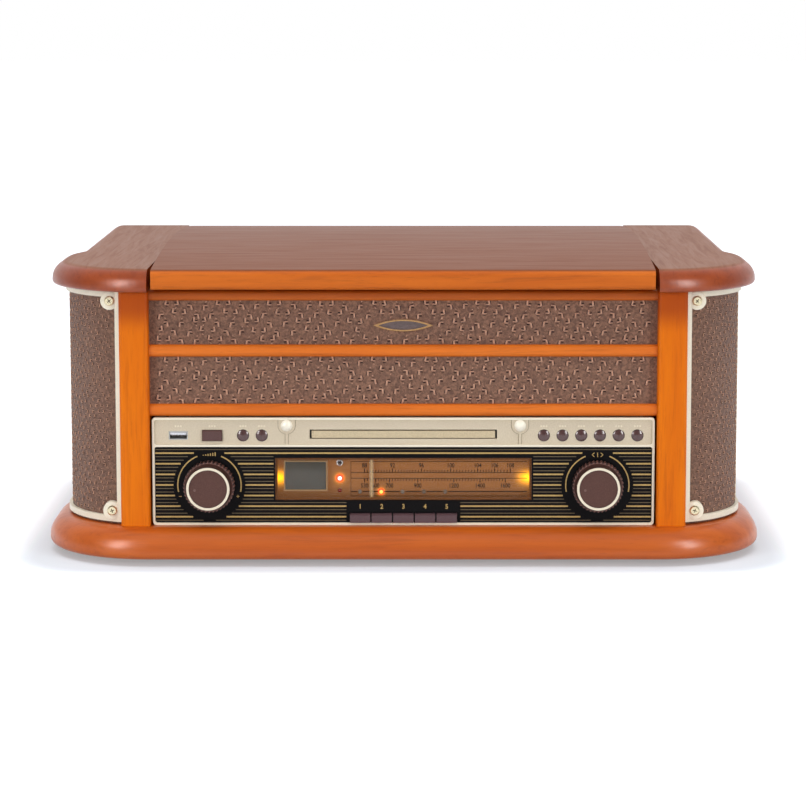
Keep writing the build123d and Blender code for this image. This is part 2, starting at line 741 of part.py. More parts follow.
def grille_cloth():
    """Cloth stretched over a thin curved former, behind the frame."""
    plan = curved_wall(CLOTH_RADIUS, CLOTH_SHELL, POST_OUTER + FIT, GRILLE_END - 2 * GRILLE_RETURN)
    wall = extrude(Pos(0, 0, BASE_TOP + FIT) * plan, amount=CABINET_HEIGHT - 2 * FIT)
    for z in LOBE_LEVELS:
        wall -= rod_y(LOBE_X, z, SCREW_SHANK_RADIUS + SLIDE_GAP, FRONT, GRILLE_Y)
    return wall


def screw():
    """Pan-head screw along Z, head up, with the underside of its head at zero."""
    rim = SCREW_HEAD_RADIUS - SCREW_HEAD / 2
    return turned(
        [
            (0, -SCREW_LENGTH),
            (SCREW_SHANK_RADIUS, -SCREW_LENGTH),
            (SCREW_SHANK_RADIUS, 0),
            (SCREW_HEAD_RADIUS, 0),
            (SCREW_HEAD_RADIUS, SCREW_HEAD / 2),
            (rim, SCREW_HEAD),
            (0, SCREW_HEAD),
        ]
    )


def grille_screws():
    """Screws through the front lobes of both grilles."""
    return group(
        Pos(side * LOBE_X, LOBE_FACE, z) * Rot(90, 0, 0) * screw()
        for side in (-1, 1)
        for z in LOBE_LEVELS
    )


def baffle_place():
    """Frame of the slanting loudspeaker board: Z points out of the cabinet corner."""
    middle = (GRILLE_X + BAFFLE_OUT_X, GRILLE_Y - BAFFLE_OUT_Y, (BASE_TOP + CABINET_TOP) / 2)
    return Plane(origin=middle, x_dir=(1, 1, 0), z_dir=(1, -1, 0)).location


def end_boards(low, high):
    """The two curved boards that close a speaker chamber below and above."""
    ends = rod_z(GRILLE_X, GRILLE_Y, CHAMBER_RADIUS, low, high)
    ends &= block(DIVIDER_OUTER - 1, SIDE_INNER + SIDE_WALL, FRONT, GRILLE_END - FIT, low, high)
    ends -= block(0, POST_OUTER + FIT, FRONT, POST_BACK + FIT, 0, CABINET_TOP)
    ends -= block(0, TOP_WIDTH, FRONT, BACK, low + CHAMBER_BOARD, high - CHAMBER_BOARD)
    for z in LOBE_LEVELS:
        bore_end = LOBE_FACE + SCREW_LENGTH + 1
        ends -= rod_y(LOBE_X, z, SCREW_SHANK_RADIUS + SHAFT_GAP, FRONT, bore_end)
    return ends


def baffle(low, high):
    """Slanting board with the mouth of the loudspeaker."""
    place = baffle_place()
    board_rise = high - low - 2 * CHAMBER_BOARD
    board = place * Pos(0, 0, -BAFFLE_THICK / 2) * Box(BAFFLE_WIDTH, board_rise, BAFFLE_THICK)
    board -= block(SIDE_INNER - FIT, GRILLE_SIDE, GRILLE_END - FIT, 0, low, high)
    return board - place * Cylinder(SPEAKER_RADIUS - SPEAKER_LAP, 4 * BAFFLE_THICK)


def speaker_box(cassette):
    """Inner wall, slanting baffle and the two curved end boards of one speaker chamber."""
    low = BASE_TOP + FIT
    high = CABINET_TOP - FIT
    box = block(DIVIDER_INNER, DIVIDER_OUTER, POST_BACK + FIT, BACK_INNER - FIT, low, high)
    box += block(
        DIVIDER_INNER - CLEAT_WIDTH,
        DIVIDER_INNER,
        POST_BACK + DECK_THICK,
        BACK_INNER - BATTEN_DEPTH,
        DECK_BOTTOM - CLEAT_HEIGHT,
        DECK_BOTTOM,
    )
    box += end_boards(low, high)
    box += baffle(low, high)
    if cassette:
        box -= block(
            DIVIDER_INNER - CLEAT_WIDTH - 1,
            DIVIDER_OUTER + 1,
            CASE_FRONT - FIT,
            CASE_BACK + FIT,
            CASE_BOTTOM - FIT,
            CASE_TOP + FIT,
        )
    return box


def speaker_boxes():
    return group([mirror(speaker_box(False), about=Plane.YZ), speaker_box(True)])


def speaker():
    """Loudspeaker: flange, basket, cone and magnet, turned about its own axis."""
    r = SPEAKER_RADIUS
    front = SLIDE_GAP + SPEAKER_FLANGE
    magnet_top = MAGNET_LENGTH - SPEAKER_DEPTH
    body = turned(
        [
            (0, -SPEAKER_DEPTH),
            (MAGNET_RADIUS, -SPEAKER_DEPTH),
            (MAGNET_RADIUS, magnet_top),
            (r - 2 * SPEAKER_LAP, SLIDE_GAP),
            (r, SLIDE_GAP),
            (r, front),
            (r - SPEAKER_LAP, front + 1),
            (MAGNET_RADIUS * 0.8, magnet_top / 2),
            (0, magnet_top / 2 + 2),
        ]
    )
    return baffle_place() * body


def speakers():
    return both_sides(speaker())


# ---- front panel ----
def button_places():
    """Middles of the round buttons, from the left."""
    left_first = POWER_X + LEFT_BUTTON_FROM_POWER
    right_last = FASCIA_WIDTH / 2 - RIGHT_BUTTON_FROM_EDGE
    right_first = right_last - (RIGHT_BUTTONS - 1) * BUTTON_PITCH
    left = [left_first + i * BUTTON_PITCH for i in range(LEFT_BUTTONS)]
    right = [right_first + i * BUTTON_PITCH for i in range(RIGHT_BUTTONS)]
    return left, right


def rounded_front(x0, x1, z0, z1, corner, y0, y1):
    """A plate with round corners, as seen from the front."""
    outline = Pos((x0 + x1) / 2, (z0 + z1) / 2) * RectangleRounded(x1 - x0, z1 - z0, corner)
    return from_front(outline, y0, y1)


def key_places():
    """Middles of the function keys, from the left."""
    return [(i - (KEYS - 1) / 2) * KEY_PITCH for i in range(KEYS)]


def key_span():
    """Left and right ends of the row of function keys."""
    margin = KEY_WIDTH / 2 + SLIDE_GAP
    return key_places()[0] - margin, key_places()[-1] + margin


def shield(x):
    """U-shaped raised boss and thin stem round one of the two studs."""
    half = SHIELD_WIDTH / 2
    front = FASCIA_FACE - SHIELD_PROUD
    top = FASCIA_TOP - RIM_WIDTH / 2
    bowl = rod_y(x, STUD_Z, half, front, FASCIA_FACE)
    bowl += block(x - half, x + half, front, FASCIA_FACE, STUD_Z, top)
    stem = block(
        x - STEM_WIDTH / 2, x + STEM_WIDTH / 2, front, FASCIA_FACE, PANEL_TOP, STUD_Z
    )
    return bowl + stem


def fascia():
    """Moulded front: control band above, frame for the dial panel below."""
    half = FASCIA_WIDTH / 2
    rim_face = FASCIA_FACE - RIM_PROUD
    body = rounded_front(
        -half, half, FASCIA_BOTTOM, FASCIA_TOP, FASCIA_CORNER, rim_face, FASCIA_BACK
    )
    inner = half - RIM_WIDTH
    corner = FASCIA_CORNER - RIM_WIDTH / 2
    body -= rounded_front(
        -inner, inner, PANEL_TOP + RIM_WIDTH, FASCIA_TOP - RIM_WIDTH, corner, rim_face - 1, FASCIA_FACE
    )
    body -= rounded_front(
        -inner, inner, PANEL_BOTTOM, PANEL_TOP, corner, rim_face - 1, PANEL_BACK
    )
    for side in (-1, 1):
        body += shield(side * STUD_X)
        body -= rod_y(side * KNOB_X, KNOB_Z, 2 * SHAFT_RADIUS, FASCIA_FACE, FASCIA_BACK + 1)
    left, right = button_places()
    for x in left + right:
        body -= rod_y(x, BUTTON_Z, BUTTON_RADIUS + BUTTON_GAP, FASCIA_FACE - 1, FASCIA_BACK + 1)
    gap = BUTTON_GAP
    body -= block(
        POWER_X - POWER_WIDTH / 2 - gap,
        POWER_X + POWER_WIDTH / 2 + gap,
        FASCIA_FACE - 1,
        FASCIA_BACK + 1,
        BUTTON_Z - POWER_HEIGHT / 2 - gap,
        BUTTON_Z + POWER_HEIGHT / 2 + gap,
    )
    body -= block(
        USB_X - USB_WIDTH / 2 - gap,
        USB_X + USB_WIDTH / 2 + gap,
        FASCIA_FACE - 1,
        FASCIA_BACK + 1,
        BUTTON_Z - USB_HEIGHT / 2 - gap,
        BUTTON_Z + USB_HEIGHT / 2 + gap,
    )
    body -= block(
        -DISC_SLOT_HALF,
        DISC_SLOT_HALF,
        FASCIA_FACE - 1,
        FASCIA_BACK + 1,
        DISC_SLOT_BOTTOM,
        DISC_SLOT_TOP,
    )
    body -= block(
        -WINDOW_HALF + WINDOW_LEDGE,
        WINDOW_HALF - WINDOW_LEDGE,
        FASCIA_FACE,
        FASCIA_BACK + 1,
        WINDOW_BOTTOM + WINDOW_LEDGE,
        WINDOW_TOP - WINDOW_LEDGE,
    )
    key_left, key_right = key_span()
    body -= block(
        key_left,
        key_right,
        FASCIA_FACE,
        FASCIA_BACK + 1,
        KEY_BOTTOM - FIT,
        KEY_TOP + SLIDE_GAP,
    )
    return body


def fascia_studs():
    """Two domed pearl studs, each set in the face of its shield."""
    stud = Rot(90, 0, 0) * domed(STUD_RADIUS, STUD_DOME, STUD_RIM)
    seat = FASCIA_FACE - SHIELD_PROUD - STUD_RIM
    return group(Pos(side * STUD_X, seat, STUD_Z) * stud for side in (-1, 1))


def dial_panel():
    """Black panel with a sunk disc under each knob, the window opening and the key panel."""
    half = FASCIA_WIDTH / 2 - RIM_WIDTH - FIT
    corner = FASCIA_CORNER - RIM_WIDTH / 2
    panel = rounded_front(
        -half, half, PANEL_BOTTOM + FIT, PANEL_TOP - FIT, corner, PANEL_FACE, PANEL_BACK
    )
    key_left, key_right = key_span()
    key_top = KEY_TOP + SLIDE_GAP
    panel += block(
        key_left - 1.5,
        key_right + 1.5,
        PANEL_FACE - KEY_PANEL_PROUD,
        PANEL_FACE,
        PANEL_BOTTOM + FIT,
        key_top + KEY_PANEL_HEIGHT,
    )
    panel -= block(key_left, key_right, FRONT, 0, KEY_BOTTOM - FIT, key_top)
    panel -= block(
        -WINDOW_HALF - FIT, WINDOW_HALF + FIT, FRONT, 0, WINDOW_BOTTOM - FIT, WINDOW_TOP + FIT
    )
    for side in (-1, 1):
        panel -= rod_y(side * KNOB_X, KNOB_Z, 2 * SHAFT_RADIUS, FRONT, 0)
        panel -= rod_y(side * KNOB_X, KNOB_Z, KNOB_DISC_RADIUS, FRONT, PANEL_FACE + 0.3)
    return panel


def dial_window():
    """Clear tinted cover over the scale."""
    return block(
        -WINDOW_HALF, WINDOW_HALF, PANEL_FACE, PANEL_BACK, WINDOW_BOTTOM, WINDOW_TOP
    )


def dial_plate():
    """Scale plate on four short pillars, with the post that the dial cord runs round."""
    half = WINDOW_HALF + DIAL_MARGIN
    low = WINDOW_BOTTOM - DIAL_MARGIN
    high = WINDOW_TOP + DIAL_MARGIN
    plate = block(-half, half, DIAL_FACE, DIAL_BACK, low, high)
    for x in (-half, half - DIAL_PILLAR):
        for z in (low, high - DIAL_PILLAR):
            plate += block(x, x + DIAL_PILLAR, FASCIA_BACK, DIAL_FACE, z, z + DIAL_PILLAR)
    post_radius = CORD_DRUM - CORD_THICK / 2 - SLIDE_GAP
    return plate + rod_y(CORD_POST_X, KNOB_Z, post_radius, DIAL_BACK, BOARD_FACE)


def display():
    """Display module standing on the scale plate."""
    return block(
        DISPLAY_LEFT,
        DISPLAY_RIGHT,
        DIAL_FACE - DISPLAY_DEPTH,
        DIAL_FACE,
        DISPLAY_BOTTOM,
        DISPLAY_TOP,
    )


def indicator_lights():
    """Remote sensor, two status lights and the row of band lights."""

    def light(x, rise, radius):
        return rod_y(x, WINDOW_BOTTOM + rise, radius, DIAL_FACE - LIGHT_DEPTH, DIAL_FACE)

    lamps = [light(STATUS_X, SENSOR_RISE, SENSOR_RADIUS)]
    lamps += [light(STATUS_X, rise, LIGHT_RADIUS) for rise in (POWER_LIGHT_RISE, STEREO_LIGHT_RISE)]
    for i in range(BAND_LIGHTS):
        lamps.append(light(FIRST_LIGHT_X + i * BAND_LIGHT_PITCH, BAND_LIGHT_RISE, LIGHT_RADIUS))
    return group(lamps)


def pointer():
    """Needle, the arm over the top of the scale plate and the carriage on the cord."""
    over = WINDOW_TOP + DIAL_MARGIN + SLIDE_GAP
    arm_top = over + POINTER_ARM
    half = POINTER_WIDTH / 2
    needle_face = FASCIA_BACK + POINTER_GAP
    needle_back = needle_face + POINTER_THICK
    needle_low = WINDOW_BOTTOM + WINDOW_LEDGE / 2
    wide = CARRIAGE_WIDTH / 2
    x = POINTER_X
    cord_z = KNOB_Z + CORD_DRUM
    cord = CORD_THICK / 2 + SLIDE_GAP
    carriage_y = DIAL_BACK + SLIDE_GAP
    carriage_end = BOARD_FACE - SLIDE_GAP
    needle = block(x - half, x + half, needle_face, needle_back, needle_low, arm_top)
    arm = block(x - wide, x + wide, needle_face, carriage_end, over, arm_top)
    carriage = block(x - wide, x + wide, carriage_y, carriage_end, cord_z - 4 * cord, arm_top)
    groove = rod_x(CORD_Y, cord_z, cord, x - wide - 1, x + wide + 1)
    return needle + arm + carriage - groove


def dial_cord():
    """Endless cord round the drum of the tuning shaft and the fixed post."""

    def loop(radius):
        span = KNOB_X - CORD_POST_X
        return Pos((KNOB_X + CORD_POST_X) / 2, KNOB_Z) * SlotOverall(span + 2 * radius, 2 * radius)

    half = CORD_THICK / 2
    ring = from_front(loop(CORD_DRUM + half), CORD_Y - half, CORD_Y + half)
    return ring - from_front(loop(CORD_DRUM - half), FRONT, 0)


def serrated(radius):
    """Outline of a knob skirt with fine teeth."""
    points = []
    for i in range(2 * KNOB_TEETH):
        reach = radius - KNOB_TOOTH * (i % 2)
        turn = radians(180 * i / KNOB_TEETH)
        points.append((reach * cos(turn), reach * sin(turn)))
    return make_face(Polyline(points, close=True))


def knob(x, shaft_end):
    """Knob with toothed skirt, tapering body, raised ring, sunk cap and its shaft."""
    seat = PANEL_FACE - KNOB_CLEAR
    skirt_face = seat - KNOB_SKIRT
    rise = KNOB_LENGTH - KNOB_SKIRT
    skirt = from_front(Pos(x, KNOB_Z) * serrated(KNOB_SKIRT_RADIUS), skirt_face, seat)
    drum = turned(
        [
            (0, 0),
            (KNOB_SKIRT_RADIUS - 2 * KNOB_TOOTH, 0),
            (KNOB_RING_RADIUS, 0.8 * rise),
            (KNOB_RING_RADIUS, rise),
            (KNOB_CAP_RADIUS, rise),
            (KNOB_CAP_RADIUS, rise - KNOB_CAP_SUNK),
            (0, rise - KNOB_CAP_SUNK),
        ]
    )
    shaft = rod_y(x, KNOB_Z, SHAFT_RADIUS, seat, shaft_end)
    return skirt + Pos(x, skirt_face, KNOB_Z) * Rot(90, 0, 0) * drum + shaft


def volume_knob():
    return knob(-KNOB_X, BOARD_FACE - 1)


def tuning_knob():
    """Tuning knob; its shaft carries the flanged drum of the dial cord."""
    floor = CORD_DRUM - CORD_THICK / 2 - SLIDE_GAP
    half = CORD_THICK / 2 + SLIDE_GAP
    body = knob(KNOB_X, BOARD_BACK + GANG_BORE)
    body += rod_y(KNOB_X, KNOB_Z, floor, CORD_Y - half, CORD_Y + half)
    for start in (CORD_Y - half - DRUM_FLANGE, CORD_Y + half):
        body += rod_y(KNOB_X, KNOB_Z, CORD_DRUM + 1, start, start + DRUM_FLANGE)
    return body


def function_key(x):
    """Flat key with a bevelled front and a shank that slides in the switch behind it."""
    half = KEY_WIDTH / 2
    front = PANEL_FACE - KEY_PROUD
    back = FASCIA_BACK + KEY_SHOULDER
    cap = block(x - half, x + half, front, back, KEY_BOTTOM, KEY_TOP)
    upper = cap.edges().filter_by(Axis.X).group_by(Axis.Y)[0].sort_by(Axis.Z)[-1]
    cap = chamfer(upper, KEY_BEVEL)
    shank_end = BOARD_FACE - KEY_TRAVEL - SLIDE_GAP
    shank = block(
        x - KEY_SHANK / 2, x + KEY_SHANK / 2, back, shank_end, KEY_BOTTOM + 1, KEY_TOP - 1
    )
    return cap + shank


def power_button():
    """Rectangular button held behind the fascia by its flange."""
    half = POWER_WIDTH / 2
    rise = POWER_HEIGHT / 2
    front = FASCIA_FACE - POWER_PROUD
    flange = FASCIA_BACK + SLIDE_GAP
    cap = block(POWER_X - half, POWER_X + half, front, flange, BUTTON_Z - rise, BUTTON_Z + rise)
    cap = chamfer(cap.edges().group_by(Axis.Y)[0], 0.6)
    return cap + block(
        POWER_X - half - 1,
        POWER_X + half + 1,
        flange,
        flange + BUTTON_FLANGE,
        BUTTON_Z - rise - 1,
        BUTTON_Z + rise + 1,
    )


def round_button(x):
    """Domed button held behind the fascia by a square flange."""
    flange = FASCIA_BACK + SLIDE_GAP
    rim = FASCIA_FACE - BUTTON_PROUD + BUTTON_DOME
    cap = domed(BUTTON_RADIUS, BUTTON_DOME, flange - rim)
    reach = BUTTON_RADIUS + 1
    return Pos(x, rim, BUTTON_Z) * Rot(90, 0, 0) * cap + block(
        x - reach, x + reach, flange, flange + BUTTON_FLANGE, BUTTON_Z - reach, BUTTON_Z + reach
    )


def usb_shell():
    """Metal shell of the USB socket, open to the front."""
    half = USB_WIDTH / 2
    rise = USB_HEIGHT / 2
    wall = USB_WALL
    front = FASCIA_FACE - FIT
    shell = block(USB_X - half, USB_X + half, front, BOARD_FACE, BUTTON_Z - rise, BUTTON_Z + rise)
    return shell - block(
        USB_X - half + wall,
        USB_X + half - wall,
        front - 1,
        BOARD_FACE - 1,
        BUTTON_Z - rise + wall,
        BUTTON_Z + rise - wall,
    )


def key_bank(low):
    """Switch bank in which the shanks of the function keys slide."""
    key_left, key_right = key_span()
    face = FASCIA_BACK + KEY_SHOULDER + KEY_TRAVEL + SLIDE_GAP
    bank = block(key_left, key_right, face, BOARD_FACE, low, KEY_TOP + 1)
    half = KEY_SHANK / 2 + SLIDE_GAP
    for x in key_places():
        bank -= block(
            x - half,
            x + half,
            face - 1,
            BOARD_FACE,
            KEY_BOTTOM + 1 - SLIDE_GAP,
            KEY_TOP - 1 + SLIDE_GAP,
        )
    return bank


def square_case(x, size, y0, y1):
    """Square housing behind a knob."""
    half = size / 2
    return block(x - half, x + half, y0, y1, KNOB_Z - half, KNOB_Z + half)


def front_board():
    """Circuit board behind the fascia with its switches, volume control and tuning gang."""
    half = FASCIA_WIDTH / 2 - BOARD_MARGIN
    low = FASCIA_BOTTOM + 1
    high = FASCIA_TOP - 1
    board = block(-half, half, BOARD_FACE, BOARD_BACK, low, high)
    drive = DISC_SLOT_HALF + DRIVE_WALL + 1
    board -= block(-drive, drive, FRONT, 0, DISC_SLOT_BOTTOM - DRIVE_WALL - 1, CABINET_TOP)
    switch_face = FASCIA_BACK + SLIDE_GAP + BUTTON_FLANGE + BUTTON_TRAVEL + SLIDE_GAP
    reach = SWITCH_SIZE / 2
    left, right = button_places()
    for x in left + right + [POWER_X]:
        board += block(
            x - reach, x + reach, switch_face, BOARD_FACE, BUTTON_Z - reach, BUTTON_Z + reach
        )
    board += usb_shell()
    bore = SHAFT_RADIUS + SHAFT_GAP
    case_face = FASCIA_BACK + BUTTON_TRAVEL
    board += square_case(-KNOB_X, VOLUME_CASE, case_face, BOARD_FACE)
    board += square_case(KNOB_X, GANG_SIZE, BOARD_BACK, BOARD_BACK + GANG_DEPTH)
    board -= rod_y(-KNOB_X, KNOB_Z, bore, case_face - 1, BOARD_FACE)
    board -= rod_y(KNOB_X, KNOB_Z, bore, BOARD_FACE - 1, BOARD_BACK + GANG_BORE + 1)
    board += key_bank(low)
    for x in (-half, half - SWITCH_SIZE):
        for z in (low, high - SWITCH_SIZE):
            board += block(x, x + SWITCH_SIZE, FASCIA_BACK, BOARD_FACE, z, z + SWITCH_SIZE)
    return board


# ---- disc drive ----
def cd_drawer():
    """Disc tray with its front flap."""
    front = FASCIA_FACE
    flap_half = DISC_SLOT_HALF - DRAWER_GAP
    low = DISC_SLOT_BOTTOM + 0.7
    high = DISC_SLOT_TOP - 0.9
    flap = block(-flap_half, flap_half, front, front + 3, low, high)
    side = flap_half - 1.2
    wall_top = DISC_SLOT_BOTTOM + 4.2
    tray = block(-side, side, front + 3, front + TRAY_LENGTH, low, wall_top)
    disc_y = front + 3 + TRAY_RECESS + 3
    tray -= rod_z(0, disc_y, TRAY_RECESS, low + TRAY_FLOOR, high + 1)
    tray -= block(-14, 14, disc_y, front + TRAY_LENGTH + 1, low - 1, high)
    return flap + tray


def cd_mechanism():
    """Disc drive housing: side rails, cover, laser sled below and feet on the base."""
    half = DISC_SLOT_HALF + DRIVE_WALL
    front = FASCIA_BACK + 1
    back = FASCIA_FACE + TRAY_LENGTH + 8
    low = DISC_SLOT_BOTTOM - DRIVE_WALL
    high = DISC_SLOT_TOP + DRIVE_WALL + 1
    case = block(-half, half, front, back, low, high)
    tray_low = DISC_SLOT_BOTTOM + 0.7 - SLIDE_GAP
    tray_half = DISC_SLOT_HALF - DRAWER_GAP - 1.2 + SLIDE_GAP
    case -= block(
        -tray_half, tray_half, front - 1, back - 4, tray_low, DISC_SLOT_TOP + 0.8
    )
    case += block(-36, 36, front + 30, back - 10, low - 16, low)
    for side in (-1, 1):
        for y in (front + 14, back - 22):
            case += block(side * 62 - 6, side * 62 + 6, y, y + 12, BASE_TOP, low)
    return case


# ---- turntable ----
def deck_plate():
    """Turntable deck: well for the drive ring, bearing, tone-arm post, rest and slots."""
    half = DIVIDER_INNER - FIT
    front = CLOTH_FACE + CLOTH_BOARD + FIT
    back = BACK_INNER - BATTEN_DEPTH - FIT
    deck = block(-half, half, front, back, DECK_BOTTOM, DECK_TOP)
    for side in (-1, 1):
        x0, x1 = sorted((side * (POST_INNER - FIT), side * (half + 1)))
        deck -= block(x0, x1, front - 1, POST_BACK + FIT, DECK_BOTTOM - 1, DECK_TOP + 1)
    deck += rod_z(PLATTER_X, PLATTER_Y, WELL_RADIUS + WELL_WALL, WELL_BOTTOM, DECK_BOTTOM)
    deck -= rod_z(PLATTER_X, PLATTER_Y, WELL_RADIUS, WELL_FLOOR, DECK_TOP + 1)
    hub_low = WELL_FLOOR - BEARING_LENGTH + BEARING_RISE
    deck += rod_z(PLATTER_X, PLATTER_Y, BEARING_RADIUS, hub_low, WELL_FLOOR + BEARING_RISE)
    deck -= rod_z(PLATTER_X, PLATTER_Y, SPINDLE_RADIUS + SHAFT_GAP, hub_low - 1, DECK_TOP)
    deck -= rod_z(PULLEY_X, PULLEY_Y, PULLEY_RADIUS + PULLEY_CLEAR, WELL_BOTTOM - 1, WELL_FLOOR + 1)
    deck += rod_z(ARM_X, ARM_Y, ARM_POST_RADIUS, DECK_TOP, DECK_TOP + ARM_POST_HEIGHT)
    deck -= rod_z(ARM_X, ARM_Y, ARM_SHAFT_RADIUS + SHAFT_GAP, DECK_BOTTOM - 1, DECK_TOP + 20)
    rest_y = NEEDLE_Y + REST_FROM_NEEDLE
    rest_top = ARM_Z - ARM_RADIUS - SLIDE_GAP
    lip = ARM_X + ARM_RADIUS + SLIDE_GAP
    front = rest_y - REST_LENGTH / 2
    rear = rest_y + REST_LENGTH / 2
    deck += block(ARM_X - REST_INSIDE, lip + REST_LIP, front, rear, DECK_TOP, rest_top)
    deck += block(lip, lip + REST_LIP, front, rear, rest_top, ARM_Z)
    half = SELECTOR_STEM / 2
    reach = SELECTOR_TRAVEL + half + SELECTOR_SLOT_SPARE
    front = SELECTOR_Y - half - SLIDE_GAP
    rear = SELECTOR_Y + half + SLIDE_GAP
    deck -= block(SELECTOR_X - reach, SELECTOR_X + reach, front, rear, DECK_BOTTOM - 1, DECK_TOP + 1)
    stay_x = LID_WIDTH / 2 - LID_WALL
    drop = HINGE_Z - (DECK_TOP + DECK_BOTTOM) / 2
    stay_y = HINGE_Y - (STAY_RADIUS**2 - drop**2) ** 0.5
    deck -= block(
        stay_x - STAY_THICK - STAY_CLEAR,
        stay_x + STAY_CLEAR,
        stay_y - STAY_BAND,
        stay_y + STAY_BAND,
        DECK_BOTTOM - 1,
        DECK_TOP + 1,
    )
    return deck


def platter():
    """Platter with its bevelled edge, drive ring below and spindle."""
    low = PLATTER_BOTTOM
    disc = Pos(PLATTER_X, PLATTER_Y, low + PLATTER_THICK / 2) * Cylinder(PLATTER_RADIUS, PLATTER_THICK)
    disc = chamfer(disc.edges().group_by(Axis.Z)[-1], 2.0)
    ring = rod_z(PLATTER_X, PLATTER_Y, DRIVE_RING_RADIUS, low - DRIVE_RING_DEPTH, low)
    ring -= rod_z(
        PLATTER_X, PLATTER_Y, DRIVE_RING_RADIUS - DRIVE_RING_WALL, low - DRIVE_RING_DEPTH - 1, low
    )
    hub = rod_z(PLATTER_X, PLATTER_Y, BEARING_RADIUS, WELL_FLOOR + BEARING_RISE + SLIDE_GAP, low)
    spindle_low = WELL_FLOOR - BEARING_LENGTH + 6
    spindle_top = MAT_TOP + SPINDLE_ABOVE_MAT
    spindle = rod_z(PLATTER_X, PLATTER_Y, SPINDLE_RADIUS, spindle_low, spindle_top)
    spindle = chamfer(spindle.edges().group_by(Axis.Z)[-1], 1.5)
    return disc + ring + hub + spindle


def platter_mat():
    mat = rod_z(PLATTER_X, PLATTER_Y, MAT_RADIUS, PLATTER_TOP, MAT_TOP)
    return mat - rod_z(PLATTER_X, PLATTER_Y, SPINDLE_RADIUS + SLIDE_GAP, PLATTER_TOP - 1, MAT_TOP + 1)


def belt_path(ring_radius, pulley_radius):
    """Outline that wraps the drive ring and the pulley."""
    ring = Pos(PLATTER_X, PLATTER_Y) * Circle(ring_radius)
    pulley = Pos(PULLEY_X, PULLEY_Y) * Circle(pulley_radius)
    return make_hull(ring.edges() + pulley.edges())


def belt_level():
    return PLATTER_BOTTOM - DRIVE_RING_DEPTH / 2 - BELT_HEIGHT / 2


def drive_belt():
    inner = belt_path(DRIVE_RING_RADIUS + SLIDE_GAP, PULLEY_RADIUS + SLIDE_GAP)
    grow = SLIDE_GAP + BELT_THICK
    outer = belt_path(DRIVE_RING_RADIUS + grow, PULLEY_RADIUS + grow)
    return extrude(Pos(0, 0, belt_level()) * (outer - inner), amount=BELT_HEIGHT)


def motor_pulley():
    """Stepped pulley on the motor shaft."""
    low = belt_level() - 1.5
    pulley = rod_z(PULLEY_X, PULLEY_Y, PULLEY_RADIUS, low, low + PULLEY_HEIGHT)
    return pulley + rod_z(PULLEY_X, PULLEY_Y, MOTOR_SHAFT, WELL_BOTTOM - MOTOR_SHAFT_DEPTH, low)


def turntable_motor():
    """Motor can screwed under the well."""
    top = WELL_BOTTOM
    can = rod_z(PULLEY_X, PULLEY_Y, MOTOR_RADIUS, top - MOTOR_LENGTH, top)
    can = chamfer(can.edges().group_by(Axis.Z)[0], MOTOR_BEVEL)
    bore = MOTOR_SHAFT + SHAFT_GAP
    return can - rod_z(PULLEY_X, PULLEY_Y, bore, top - MOTOR_SHAFT_DEPTH - 1, top + 1)


def tonearm_gimbal():
    """Turning yoke that carries the tone arm between two ears."""
    seat = DECK_TOP + ARM_POST_HEIGHT + SLIDE_GAP
    floor = ARM_Z - ARM_RADIUS - GIMBAL_DROP
    body = rod_z(ARM_X, ARM_Y, ARM_POST_RADIUS - 1, seat, floor)
    body += rod_z(ARM_X, ARM_Y, ARM_SHAFT_RADIUS, DECK_BOTTOM, seat)
    inner = ARM_RADIUS + YOKE_GAP
    half = YOKE_WIDTH / 2
    for side in (-1, 1):
        x0, x1 = sorted((side * inner, side * (inner + YOKE_EAR)))
        body += block(ARM_X + x0, ARM_X + x1, ARM_Y - half, ARM_Y + half, floor, ARM_Z + YOKE_RISE)
    return body - rod_x(
        ARM_Y, ARM_Z, ARM_PIN_RADIUS + SHAFT_GAP, ARM_X - ARM_POST_RADIUS, ARM_X + ARM_POST_RADIUS
    )


def tonearm():
    """Arm tube with pivot pins, counterweight, head and cartridge with stylus."""
    tube = rod_y(ARM_X, ARM_Z, ARM_RADIUS, NEEDLE_Y + HEAD_LENGTH / 2, ARM_Y + ARM_TAIL)
    weight = rod_y(ARM_X, ARM_Z, 2 * ARM_RADIUS, ARM_Y + ARM_TAIL - ARM_WEIGHT, ARM_Y + ARM_TAIL)
    weight = chamfer(weight.edges().filter_by(GeomType.CIRCLE), WEIGHT_BEVEL)
    half = HEAD_WIDTH / 2
    nose = NEEDLE_Y - HEAD_NOSE
    under = ARM_Z - ARM_RADIUS
    head = block(ARM_X - half, ARM_X + half, nose, nose + HEAD_LENGTH, under, ARM_Z + ARM_RADIUS)
    head = chamfer(head.edges().filter_by(Axis.X).group_by(Axis.Y)[0].sort_by(Axis.Z)[-1], HEAD_BEVEL)
    half = CARTRIDGE_WIDTH / 2
    nose = NEEDLE_Y - CARTRIDGE_NOSE
    tip = MAT_TOP + STYLUS_ABOVE_MAT
    low = tip + STYLUS_DROP
    cartridge = block(ARM_X - half, ARM_X + half, nose, nose + CARTRIDGE_LENGTH, low, under)
    half = STYLUS_WIDTH / 2
    nose = NEEDLE_Y - half
    stylus = block(ARM_X - half, ARM_X + half, nose, nose + STYLUS_LENGTH, tip, low)
    reach = ARM_RADIUS + YOKE_GAP + YOKE_EAR
    pins = rod_x(ARM_Y, ARM_Z, ARM_PIN_RADIUS, ARM_X - reach, ARM_X + reach)
    return tube + weight + head + cartridge + stylus + pins


